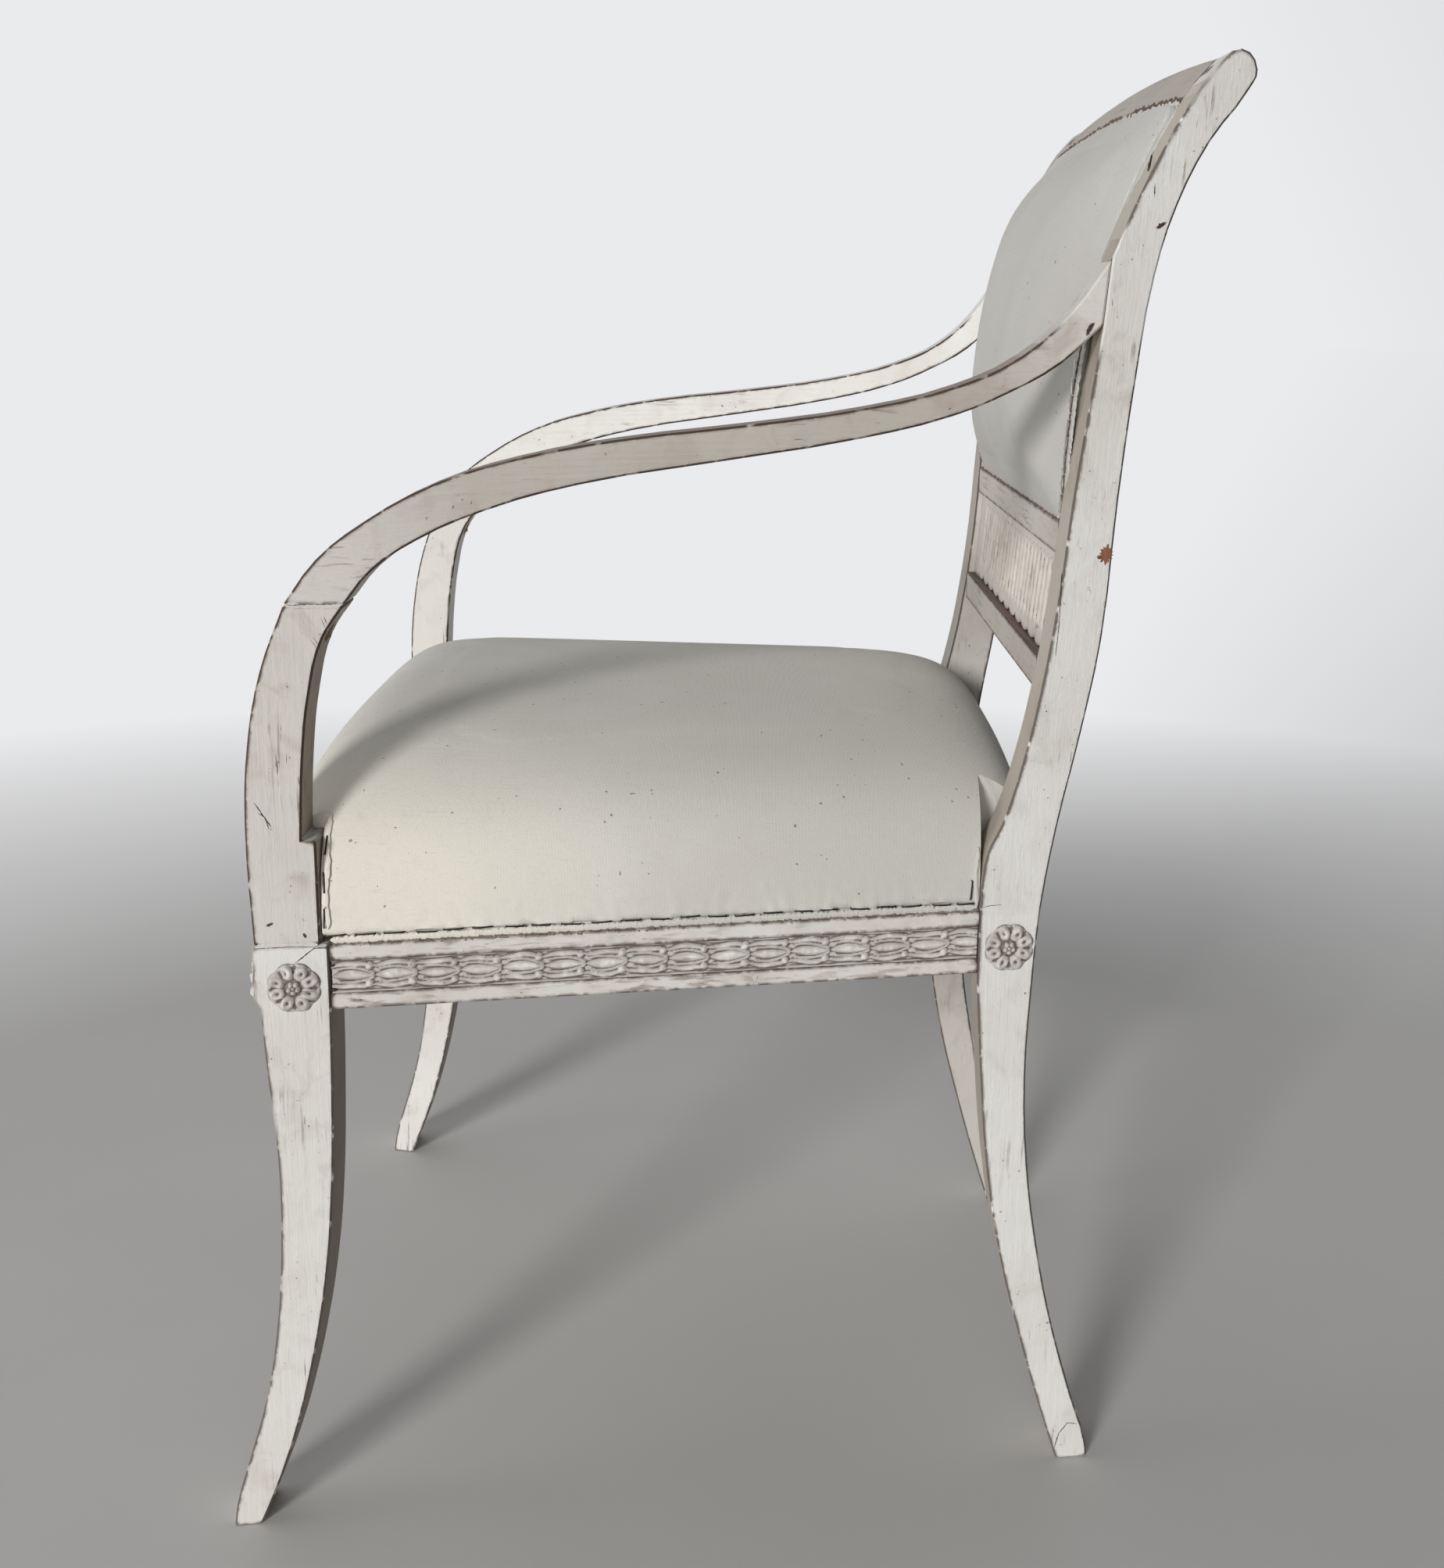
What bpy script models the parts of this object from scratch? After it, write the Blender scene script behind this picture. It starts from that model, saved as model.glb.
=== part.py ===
"""Painted neoclassical armchair with sabre legs, a stapled seat and back, and carved seat rails.

Metres, +Z up, the front faces -Y. The origin is on the floor, in the middle of the chair's box.
Each side of the chair is drawn as outlines in the YZ plane, given a thickness along X, and then
moved out to the side's own surface: the seat narrows towards the back and the stiles flare out.
"""

import math

import bmesh
import bpy
from mathutils import Matrix, Vector

GAP = 0.0003
HEIGHT = 0.880

# The side surfaces: how far the outer face of a side is from the middle of the chair.
HALF_WIDTH = 0.2385
TAPER = 0.163
FLARE = 0.055
FLARE_START = 0.385
ARM_BOW = 0.007

# Seat frame. Heights are at the middle of the seat, which rises slightly towards the back.
SEAT_RAKE = 0.015
LEG_FRONT = -0.2605
LEG_REAR = -0.217
LEG_THICK = 0.036
RAIL_THICK = 0.028
RAIL_LOW = 0.3460
RAIL_HIGH = 0.3860
BLOCK_TOP = 0.3830
LEDGE_HIGH = 0.400
LEDGE_INSET = 0.006
STILE_FRONT = 0.1698
STILE_THICK = 0.036
TENON = 0.020
GROOVE_LOW = 0.3558
GROOVE_HIGH = 0.3762
GROOVE_DEEP = 0.003

# Arm and post.
POST_THICK = 0.029
POST_JOINT = 0.5825
SHOULDER = 0.446
ARM_THICK = 0.028

# Back.
CREST_LOW = 0.857
CREST_ARCH = 0.0065
CREST_HALF = 0.2125
UPPER_RAIL = (0.606, 0.625)
LOWER_RAIL = (0.523, 0.543)
TONGUE = 0.018
TONGUE_BACK = 0.013
PANEL_TOP = 0.2110
PANEL_FOOT = 0.2060
PANEL_THICK = 0.009
FLUTES = 11

# Upholstery.
CLOTH = 0.0012
SEAT_HEM = 0.3875
SEAT_CROWN = 0.498
SEAT_FRONT = -0.2568
SEAT_REAR = 0.2055
BACK_BULGE = 0.029
BACK_FLATNESS = 2.15
STRAP_WIDE = 0.052
STRAP_THICK = 0.0015
PAD_LOW = UPPER_RAIL[1] + GAP * 2
PAD_HIGH = CREST_LOW - GAP * 2

ROSETTE_RADIUS = 0.0155
ROSETTE_FRONT_Z = 0.3575
ROSETTE_REAR_Z = 0.3645
ROSETTE_DEEP = 0.0035
DOWEL_RADIUS = 0.004

PAINT = (0.62, 0.585, 0.55)
CALICO = (0.78, 0.74, 0.66)
HESSIAN = (0.42, 0.32, 0.19)
HAIR = (0.16, 0.12, 0.09)
BEECH = (0.45, 0.30, 0.17)
STEEL = (0.35, 0.34, 0.32)

for stale in list(bpy.data.objects):
    bpy.data.objects.remove(stale, do_unlink=True)
PARTS = bpy.data.collections.new("painted_armchair")
CUTTERS = bpy.data.collections.new("cutters")
for collection in (PARTS, CUTTERS):
    bpy.context.scene.collection.children.link(collection)


# ---------------------------------------------------------------- surfaces of the sides

def side_x(y, z):
    """Outer face of the legs, posts and seat rails."""
    return HALF_WIDTH - TAPER * y


def stile_x(y, z):
    """Outer face of a stile, which flares out above the seat."""
    return side_x(y, z) + FLARE * max(0.0, z - FLARE_START) / (HEIGHT - FLARE_START)


def arm_x(y, z):
    """Outer face of an arm, flush with the post at its front and with the stile at its back."""
    start, end = LEG_REAR, 0.2195
    along = min(max((y - start) / (end - start), 0.0), 1.1)
    height = 0.755 + (z - 0.755) * along ** 4
    offset = stile_x(end, height) - side_x(end, height)
    return side_x(y, z) + offset * along - ARM_BOW * 4 * along * max(0.0, 1 - along)


def back_front_y(z):
    """Front edge of a stile between the upper back rail and the crest."""
    return 0.210 + 0.051 * (max(0.0, z - 0.62) / 0.24) ** 3


def back_rear_y(z):
    """Rear edge of a stile over the same height."""
    return 0.2335 + 0.040 * (max(0.0, z - 0.60) / 0.245) ** 3.2


def crest_lift(x, z):
    """How far the arched crest and the layers hung from it rise in the middle of the back."""
    share = (z - UPPER_RAIL[1]) / (CREST_LOW - UPPER_RAIL[1])
    bow = max(0.0, 1 - (x / CREST_HALF) ** 2)
    return CREST_ARCH * bow * min(max(share, 0.0), 1.0)


# ---------------------------------------------------------------- building blocks

def material(name, colour, roughness, metallic=0.0):
    made = bpy.data.materials.new(name)
    made.use_nodes = True
    shader = made.node_tree.nodes["Principled BSDF"]
    shader.inputs["Base Color"].default_value = (*colour, 1.0)
    shader.inputs["Roughness"].default_value = roughness
    shader.inputs["Metallic"].default_value = metallic
    return made


def add(name, mesh, collection, colour=None, roughness=0.6, metallic=0.0):
    obj = bpy.data.objects.new(name, mesh)
    collection.objects.link(obj)
    if colour:
        mesh.materials.clear()
        mesh.materials.append(material(name + "_finish", colour, roughness, metallic))
        mesh.shade_smooth()
        mesh.set_sharp_from_angle(angle=math.radians(35))
    else:
        obj.hide_render = True
        obj.display_type = "WIRE"
    return obj


def part(name, mesh, colour, roughness=0.6, metallic=0.0):
    return add(name, mesh, PARTS, colour, roughness, metallic)


def cutter(name, mesh):
    return add(name, mesh, CUTTERS)


def combine(obj, other, operation):
    step = obj.modifiers.new(other.name, "BOOLEAN")
    step.operation = operation
    step.solver = "EXACT"
    step.object = other


def ease_edges(obj, width=0.0012):
    step = obj.modifiers.new("eased_edges", "BEVEL")
    step.width = width
    step.segments = 1
    step.limit_method = "ANGLE"
    step.angle_limit = math.radians(40)


def mesh_of(work, name):
    """A bmesh made into a mesh, with its normals pointing out."""
    work.normal_update()
    bmesh.ops.recalc_face_normals(work, faces=work.faces)
    mesh = bpy.data.meshes.new(name)
    work.to_mesh(mesh)
    work.free()
    return mesh


def outline_mesh(name, points, near, far, resolution=4):
    """A flat outline in the YZ plane, filled and extruded from x = near to x = far.

    A point is (y, z), where the outline is smooth, or (y, z, "corner").
    """
    curve = bpy.data.curves.new(name, "CURVE")
    curve.dimensions = "2D"
    curve.fill_mode = "BOTH"
    curve.extrude = abs(far - near) / 2
    curve.resolution_u = resolution
    spline = curve.splines.new("BEZIER")
    spline.bezier_points.add(len(points) - 1)
    spline.use_cyclic_u = True
    for knot, point in zip(spline.bezier_points, points):
        knot.co = (point[0], point[1], 0)
    for knot, point in zip(spline.bezier_points, points):
        kind = "VECTOR" if len(point) == 3 else "AUTO"
        knot.handle_left_type = kind
        knot.handle_right_type = kind
    holder = bpy.data.objects.new(name + "_outline", curve)
    CUTTERS.objects.link(holder)
    bpy.context.view_layer.update()
    graph = bpy.context.evaluated_depsgraph_get()
    mesh = bpy.data.meshes.new_from_object(holder.evaluated_get(graph))
    bpy.data.objects.remove(holder, do_unlink=True)
    work = bmesh.new()
    work.from_mesh(mesh)
    bpy.data.meshes.remove(mesh)
    bmesh.ops.remove_doubles(work, verts=work.verts, dist=0.00002)
    middle = (near + far) / 2
    for vert in work.verts:
        y, z, x = vert.co
        vert.co = (x + middle, y, z)
    everything = work.verts[:] + work.edges[:] + work.faces[:]
    bmesh.ops.bisect_plane(work, geom=everything, plane_co=(0, 0, FLARE_START), plane_no=(0, 0, 1))
    return mesh_of(work, name)


def box_mesh(name, low, high):
    work = bmesh.new()
    bmesh.ops.create_cube(work, size=1)
    size = [b - a for a, b in zip(low, high)]
    centre = [(a + b) / 2 for a, b in zip(low, high)]
    bmesh.ops.scale(work, vec=size, verts=work.verts)
    bmesh.ops.translate(work, vec=centre, verts=work.verts)
    return mesh_of(work, name)


def rod_mesh(name, start, end, radius, segments=12):
    work = bmesh.new()
    start, end = Vector(start), Vector(end)
    along = end - start
    turn = along.to_track_quat("Z", "Y").to_matrix().to_4x4()
    place = Matrix.Translation((start + end) / 2) @ turn
    bmesh.ops.create_cone(
        work, cap_ends=True, segments=segments, radius1=radius, radius2=radius,
        depth=along.length, matrix=place,
    )
    return mesh_of(work, name)


def to_side(mesh, side, surface):
    """Moves a mesh whose x is measured from a side's outer face out to that side."""
    work = bmesh.new()
    work.from_mesh(mesh)
    for vert in work.verts:
        _, y, z = vert.co
        vert.co.x = side * (vert.co.x + surface(y, z))
    work.normal_update()
    bmesh.ops.recalc_face_normals(work, faces=work.faces)
    work.to_mesh(mesh)
    work.free()
    return mesh


def to_span(mesh, surface, thick):
    """Stretches a mesh that runs from x = -1 to x = 1 between the inner faces of both sides."""
    work = bmesh.new()
    work.from_mesh(mesh)
    for vert in work.verts:
        _, y, z = vert.co
        vert.co.x *= surface(y, z) - thick - GAP
    work.to_mesh(mesh)
    work.free()
    return mesh


def arched(mesh, steps=12):
    """Bends a piece of the back up in the middle with the crest."""
    work = bmesh.new()
    work.from_mesh(mesh)
    for index in range(steps + 1):
        x = CREST_HALF * (2 * index / steps - 1)
        everything = work.verts[:] + work.edges[:] + work.faces[:]
        bmesh.ops.bisect_plane(work, geom=everything, plane_co=(x, 0, 0), plane_no=(1, 0, 0))
    for vert in work.verts:
        vert.co.z += crest_lift(vert.co.x, vert.co.z)
    work.to_mesh(mesh)
    work.free()
    return mesh


def side_box(name, x, y, z, side, surface):
    """A box given by its ranges, x being measured from a side's outer face."""
    mesh = box_mesh(name, (x[0], y[0], z[0]), (x[1], y[1], z[1]))
    return to_side(mesh, side, surface)


def tenon_joint(rail, post, name, x, y, z, side, surface, grow=(1, 1, 1)):
    """A tenon joined to rail and its mortise, a gap wider all round, cut in post."""
    tongue = cutter(name + "_tenon", side_box(name, x, y, z, side, surface))
    wider = [(low - GAP * g, high + GAP * g) for (low, high), g in zip((x, y, z), grow)]
    mortise = cutter(name + "_mortise", side_box(name, *wider, side, surface))
    combine(rail, tongue, "UNION")
    combine(post, mortise, "DIFFERENCE")


SIDES = (("right", 1), ("left", -1))


# ---------------------------------------------------------------- legs, posts, arms, stiles

def front_leg(label, side):
    outline = [
        (LEG_FRONT, BLOCK_TOP, "corner"), (LEG_FRONT, 0.350, "corner"),
        (-0.2575, 0.344, "corner"), (-0.2555, 0.305), (-0.252, 0.250), (-0.253, 0.190),
        (-0.258, 0.135), (-0.2665, 0.088), (-0.278, 0.048), (-0.2875, 0.016),
        (-0.290, 0, "corner"), (-0.273, 0, "corner"), (-0.2655, 0.018), (-0.2565, 0.042),
        (-0.246, 0.076), (-0.2355, 0.120), (-0.227, 0.168), (-0.2215, 0.220),
        (-0.2185, 0.280), (LEG_REAR, 0.3425, "corner"), (LEG_REAR, BLOCK_TOP, "corner"),
    ]
    mesh = outline_mesh("front_leg_" + label, outline, -LEG_THICK, 0)
    leg = part("front_leg_" + label, to_side(mesh, side, side_x), PAINT)
    ease_edges(leg)
    return leg


def arm_post(label, side):
    foot = BLOCK_TOP + GAP
    outline = [
        (-0.2590, foot, "corner"), (-0.2605, 0.455), (-0.2570, 0.502), (-0.2480, 0.545),
        (-0.2335, POST_JOINT, "corner"), (-0.2000, POST_JOINT, "corner"), (-0.2130, 0.563),
        (-0.2215, 0.532), (-0.2265, 0.495), (-0.2295, SHOULDER, "corner"),
        (-0.2215, SHOULDER, "corner"), (-0.2215, foot, "corner"),
    ]
    mesh = outline_mesh("arm_post_" + label, outline, -POST_THICK, 0)
    post = part("arm_post_" + label, to_side(mesh, side, side_x), PAINT)
    ease_edges(post)
    return post


def arm(label, side):
    low = POST_JOINT + GAP
    outline = [
        (-0.2335, low, "corner"), (-0.2150, 0.6075), (-0.1880, 0.6285), (-0.1500, 0.6490),
        (-0.1050, 0.6630), (-0.0500, 0.6735), (0.0250, 0.6825), (0.0900, 0.6920),
        (0.1400, 0.7045), (0.1740, 0.7205), (0.2000, 0.7440), (0.2200, 0.7730, "corner"),
        (0.2180, 0.7380, "corner"), (0.1960, 0.7165), (0.1700, 0.7015), (0.1380, 0.6880),
        (0.0850, 0.6748), (0.0080, 0.6620), (-0.0700, 0.6490), (-0.1220, 0.6345),
        (-0.1600, 0.6180), (-0.1850, 0.6010), (-0.2000, low, "corner"),
    ]
    mesh = outline_mesh("arm_" + label, outline, -ARM_THICK, 0, 3)
    piece = part("arm_" + label, to_side(mesh, side, arm_x), PAINT)
    ease_edges(piece)
    return piece


def rear_stile(label, side):
    """Stile and sabre rear leg, cut from one plank."""
    outline = [
        (0.2815, HEIGHT), (0.2912, 0.8700), (0.2878, 0.8605), (0.2690, 0.8340),
        (0.2540, 0.8010), (0.2450, 0.7650), (0.2395, 0.7120), (0.2350, 0.6400),
        (0.2320, 0.5600), (0.2240, 0.5010), (0.2140, 0.4420), (0.2080, 0.3900),
        (0.2050, 0.3350), (0.2040, 0.2770), (0.2080, 0.2200), (0.2165, 0.1650),
        (0.2290, 0.1080), (0.2460, 0.0500), (0.2590, 0.0100), (0.2600, 0, "corner"),
        (0.2390, 0, "corner"), (0.2250, 0.0420), (0.2090, 0.0950), (0.1930, 0.1550),
        (0.1820, 0.2150), (0.1745, 0.2850), (STILE_FRONT, 0.3445, "corner"),
        (STILE_FRONT, 0.4050, "corner"), (0.1720, 0.4260), (0.1800, 0.4450), (0.1900, 0.4830),
        (0.1975, 0.5250), (0.2040, 0.5780), (0.2085, 0.6400), (0.2145, 0.7000),
        (0.2184, 0.7375, "corner"), (0.2204, 0.7740, "corner"), (0.2270, 0.7920),
        (0.2390, 0.8200), (0.2550, 0.8510), (0.2690, 0.8710),
    ]
    mesh = outline_mesh("rear_stile_" + label, outline, -STILE_THICK, 0, 3)
    stile = part("rear_stile_" + label, to_side(mesh, side, stile_x), PAINT)
    ease_edges(stile)
    return stile


# ---------------------------------------------------------------- seat rails

def rail_section(front, direction):
    """Section of a seat rail across its length: a moulded face with a sunk band, and a tacking ledge.

    front is the outer face; direction is +1 when the wood lies on its greater side.
    """
    back = front + direction * RAIL_THICK
    ledge = front + direction * LEDGE_INSET
    band = front + direction * GROOVE_DEEP
    corners = [
        (front, RAIL_LOW), (front, GROOVE_LOW), (band, GROOVE_LOW), (band, GROOVE_HIGH),
        (front, GROOVE_HIGH), (front, RAIL_HIGH), (ledge, RAIL_HIGH), (ledge, LEDGE_HIGH),
        (back, LEDGE_HIGH), (back, RAIL_LOW),
    ]
    return [(y, z, "corner") for y, z in corners]


def side_rail(label, side, leg, stile):
    """The section is drawn across X, so it is turned to run along Y."""
    mesh = outline_mesh("side_rail_" + label, rail_section(0, -1), LEG_REAR + GAP, STILE_FRONT - GAP)
    work = bmesh.new()
    work.from_mesh(mesh)
    for vert in work.verts:
        y, x, z = vert.co
        vert.co = (x, y, z)
    work.normal_update()
    bmesh.ops.recalc_face_normals(work, faces=work.faces)
    work.to_mesh(mesh)
    work.free()
    rail = part("side_rail_" + label, to_side(mesh, side, side_x), PAINT)
    across, height = (-0.019, -0.009), (0.350, 0.377)
    tenon_joint(rail, leg, f"side_rail_{label}_front", across, (LEG_REAR - TENON, LEG_REAR + 0.004),
                height, side, side_x)
    tenon_joint(rail, stile, f"side_rail_{label}_rear", across, (STILE_FRONT - 0.004, STILE_FRONT + TENON),
                height, side, side_x)
    return rail


def cross_piece(name, outline, surface, thick, colour=PAINT, resolution=4):
    mesh = outline_mesh(name, outline, -1, 1, resolution)
    return part(name, to_span(mesh, surface, thick), colour)


def cross_tenons(rail, posts, y, z, surface, thick, length=TENON):
    for (label, side), post in zip(SIDES, posts):
        across = (-thick - 0.004, -thick + length)
        tenon_joint(rail, post, f"{rail.name}_{label}", across, y, z, side, surface)


# ---------------------------------------------------------------- back

def crest_rail(stiles):
    """Rolled top rail; the linen of the back is tacked to the thin tongue under it."""
    tip = CREST_LOW - TONGUE
    outline = [
        (0.2815, HEIGHT), (0.2912, 0.8700), (0.2878, 0.8605), (0.2845, CREST_LOW, "corner"),
        (back_rear_y(CREST_LOW) - 0.0066, CREST_LOW, "corner"),
        (back_rear_y(tip) - 0.0066, tip, "corner"),
        (back_front_y(tip) + TONGUE_BACK, tip, "corner"),
        (back_front_y(CREST_LOW) + TONGUE_BACK, CREST_LOW, "corner"),
        (0.2590, CREST_LOW, "corner"), (0.2690, 0.8710),
    ]
    rail = cross_piece("crest_rail", outline, stile_x, STILE_THICK)
    arched(rail.data)
    rail.data.set_sharp_from_angle(angle=math.radians(35))
    cross_tenons(rail, stiles, (0.2710, 0.2800), (0.8595, 0.8715), stile_x, STILE_THICK, 0.016)
    return rail


def plain_back_rail(name, heights, stiles, front, thick, tongue=0.0):
    low, high = heights
    back = front + thick
    corners = [(front, low), (back, low), (back, high)]
    if tongue:
        tip = high + tongue
        corners += [
            (back_rear_y(high) - 0.0050, high), (back_rear_y(tip) - 0.0050, tip),
            (back_front_y(tip) + TONGUE_BACK, tip), (back_front_y(high) + TONGUE_BACK, high),
        ]
    corners.append((front, high))
    rail = cross_piece(name, [(y, z, "corner") for y, z in corners], stile_x, STILE_THICK)
    middle = front + thick / 2 + 0.001
    cross_tenons(rail, stiles, (middle - 0.004, middle + 0.004), (low + 0.004, high - 0.004),
                 stile_x, STILE_THICK, 0.016)
    return rail


def fluted_panel():
    """A thin board under the upper back rail, with stopped flutes cut in its front."""
    low, high = LOWER_RAIL[1] + GAP, UPPER_RAIL[0] - GAP
    corners = [(PANEL_FOOT, low), (PANEL_FOOT + PANEL_THICK, low),
               (PANEL_TOP + PANEL_THICK, high), (PANEL_TOP, high)]
    panel = cross_piece("fluted_panel", [(y, z, "corner") for y, z in corners], stile_x, STILE_THICK)
    middle = (PANEL_TOP + PANEL_FOOT) / 2
    span = 2 * (stile_x(middle, 0.575) - STILE_THICK - 0.030)
    pitch = span / FLUTES
    for index in range(FLUTES):
        x = (index - (FLUTES - 1) / 2) * pitch
        rod = rod_mesh("flute", (x, middle - 0.0048, 0.552), (x, middle - 0.0010, 0.598), 0.0055, 10)
        combine(panel, cutter(f"flute_{index + 1}", rod), "DIFFERENCE")
    return panel


# ---------------------------------------------------------------- carving

def rosette_outline(centre_y, centre_z):
    """Eight round petals."""
    lobes, steps = 8, 32
    points = []
    for index in range(steps):
        angle = 2 * math.pi * index / steps
        radius = ROSETTE_RADIUS * (0.93 + 0.07 * math.cos(lobes * angle))
        points.append((centre_y + radius * math.cos(angle), centre_z + radius * math.sin(angle), "corner"))
    return points


def side_rosette(name, centre, side, surface):
    mesh = outline_mesh(name, rosette_outline(*centre), GAP, GAP + ROSETTE_DEEP, 1)
    return part(name, to_side(mesh, side, surface), PAINT)


def front_rosette(name, side):
    """The same carving turned to face the front."""
    mesh = outline_mesh(name, rosette_outline(0, 0), GAP, GAP + ROSETTE_DEEP, 1)
    x = side * (side_x(LEG_FRONT, 0) - LEG_THICK / 2)
    place = Matrix.Translation((x, LEG_FRONT, ROSETTE_FRONT_Z)) @ Matrix.Rotation(-math.pi / 2, 4, "Z")
    mesh.transform(place)
    return part(name, mesh, PAINT)


def husk_strips():
    """Carved bands let into the sunk face of the seat rails; their husks are carved on the face."""
    x = (-GROOVE_DEEP + GAP, 0.0010)
    z = (GROOVE_LOW + GAP, GROOVE_HIGH - GAP)
    for label, side in SIDES:
        mesh = side_box("husk_band_" + label, x, (LEG_REAR + 0.001, STILE_FRONT - 0.001), z, side, side_x)
        part("husk_band_" + label, mesh, PAINT)
    reach = side_x(LEG_FRONT, 0) - LEG_THICK - 0.001
    low = (-reach, LEG_FRONT + 0.0015 - 0.0010, z[0])
    high = (reach, LEG_FRONT + 0.0015 + GROOVE_DEEP - GAP, z[1])
    part("husk_band_front", box_mesh("husk_band_front", low, high), PAINT)


# ---------------------------------------------------------------- inner joinery

def corner_block(name, side, front, legs):
    """A glued block in a corner of the seat frame, notched round the leg, with its screw."""
    sign = 1 if front else -1
    rail_face = (LEG_FRONT + 0.0015 + RAIL_THICK + GAP) if front else (0.1790 - GAP)
    leg_face = (LEG_REAR + GAP) if front else (STILE_FRONT - GAP)
    reach = 0.052

    def inner(y, depth):
        return side * (side_x(y, RAIL_LOW) - depth - GAP)

    end = leg_face + sign * reach
    corners = [
        (inner(end, RAIL_THICK), end), (inner(leg_face, RAIL_THICK), leg_face),
        (inner(leg_face, LEG_THICK), leg_face), (inner(rail_face, LEG_THICK), rail_face),
        (inner(rail_face, LEG_THICK) - side * reach, rail_face),
    ]
    work = bmesh.new()
    low, high = RAIL_LOW + 0.004, RAIL_HIGH - 0.004
    face = work.faces.new([work.verts.new((x, y, low)) for x, y in corners])
    grown = bmesh.ops.extrude_face_region(work, geom=[face])
    lifted = [item for item in grown["geom"] if isinstance(item, bmesh.types.BMVert)]
    bmesh.ops.translate(work, vec=(0, 0, high - low), verts=lifted)
    block = part(name, mesh_of(work, name), BEECH, 0.7)
    a, b = Vector(corners[0]), Vector(corners[4])
    middle, aim = (a + b) / 2, Vector(corners[2])
    along = (aim - middle).normalized()
    tip = aim + along * 0.013
    z = (low + high) / 2
    bore_start = middle - along * 0.01
    for target, label, radius in ((block, "block", 0.0024), (legs[side], "leg", 0.0024)):
        bore = rod_mesh(name, (*bore_start, z), (*(tip + along * 0.001), z), radius, 12)
        combine(target, cutter(f"{name}_{label}_bore", bore), "DIFFERENCE")
    head = middle + along * 0.0125
    shank = rod_mesh(name + "_screw", (*head, z), (*tip, z), 0.0020, 10)
    screw = part(name + "_screw", shank, STEEL, 0.45, 1.0)
    return block, screw


def dowel(name, start, end, targets, radius=DOWEL_RADIUS):
    """A round peg and its holes; start and end are where it lies, in world coordinates."""
    start, end = Vector(start), Vector(end)
    along = (end - start).normalized()
    for target in targets:
        bore = rod_mesh(name, start - along * GAP * 2, end + along * GAP * 2, radius + GAP)
        combine(target, cutter(f"{name}_{target.name}_hole", bore), "DIFFERENCE")
    return part(name, rod_mesh(name, start, end, radius), BEECH, 0.7)


def side_dowels(label, side, leg, post, armrest, stile):
    def at(x, y, z, surface):
        return (side * (surface(y, z) + x), y, z)

    dowel("post_dowel_" + label, at(-0.0235, -0.2285, 0.366, side_x),
          at(-0.0235, -0.2285, 0.404, side_x), (leg, post))
    dowel("arm_front_dowel_" + label, at(-0.0145, -0.2150, 0.562, side_x),
          at(-0.0145, -0.2150, 0.598, side_x), (post, armrest))
    dowel("arm_rear_dowel_" + label, at(-0.014, 0.2055, 0.7370, arm_x),
          at(-0.014, 0.2345, 0.7720, arm_x), (armrest, stile), 0.003)


# ---------------------------------------------------------------- upholstery

def squircle(s, t, power=24.0):
    """Moves a point of the square from -1 to 1 onto a square with round corners."""
    reach = max(abs(s), abs(t))
    if reach == 0:
        return 0.0, 0.0, 0.0
    size = (abs(s) ** power + abs(t) ** power) ** (1 / power)
    return s * reach / size, t * reach / size, reach


def crowned_grid(place, cells, flatness):
    """A square grid swollen into a crowned pad.

    place(s, t, height) gives the point for plan position s, t and height from 0 to 1.
    """
    work = bmesh.new()
    bmesh.ops.create_grid(work, x_segments=cells, y_segments=cells, size=1)
    for vert in work.verts:
        s, t, reach = squircle(vert.co.x, vert.co.y)
        angle = reach * math.pi / 2
        spread = math.sin(angle) ** (2 / flatness)
        height = max(0.0, math.cos(angle)) ** (2 / flatness) if reach < 0.999 else 0.0
        scale = spread / reach if reach else 0.0
        vert.co = place(s * scale, t * scale, height)
    return work


def seat_grid(inset, hem, cells):
    """The top of the seat pad: steep sides that roll over into a nearly flat crown."""
    work = bmesh.new()
    bmesh.ops.create_grid(work, x_segments=cells, y_segments=cells, size=1)
    middle, reach = (SEAT_FRONT + SEAT_REAR) / 2, (SEAT_REAR - SEAT_FRONT) / 2
    for vert in work.verts:
        s, t = (math.sin(value * math.pi / 2) for value in vert.co.xy)
        fall = (1 - abs(s) ** 3) * (1 - abs(t) ** (10 if t < 0 else 8))
        y = middle + t * (reach - inset)
        x = s * (side_x(y, 0) - 0.0028 - inset)
        rim = hem + SEAT_RAKE * y
        vert.co = (x, y, rim + (SEAT_CROWN - inset - rim) * max(0.0, fall) ** 0.3)
    return work


def back_place(inset, base=0.022):
    """The pad's rim lies base behind the front edge, where it is trimmed to the hessian."""
    middle, reach = (PAD_LOW + PAD_HIGH) / 2, (PAD_HIGH - PAD_LOW) / 2

    def place(s, t, height):
        z = middle + t * (reach - inset)
        y = back_front_y(z) + base - (BACK_BULGE + base - inset) * height
        x = s * (stile_x(y, z) - STILE_THICK - GAP * 2 - inset)
        return Vector((x, y, z + crest_lift(x, z)))

    return place


def closed_pad(work):
    """Closes the open underside of a crowned grid."""
    rim = [edge for edge in work.edges if edge.is_boundary]
    bmesh.ops.contextual_create(work, geom=rim)
    bmesh.ops.triangulate(work, faces=work.faces)
    return work


def solid_pad(name, work, colour):
    return part(name, mesh_of(closed_pad(work), name), colour, 0.9)


def cloth_shell(name, outside, inside):
    """A cover of cloth: one crowned solid with another cut out of it, open at its underside."""
    cover = part(name, mesh_of(closed_pad(outside), name), CALICO, 0.9)
    hollow = cutter(name + "_hollow", mesh_of(closed_pad(inside), name + "_hollow"))
    combine(cover, hollow, "DIFFERENCE")
    return cover


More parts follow.
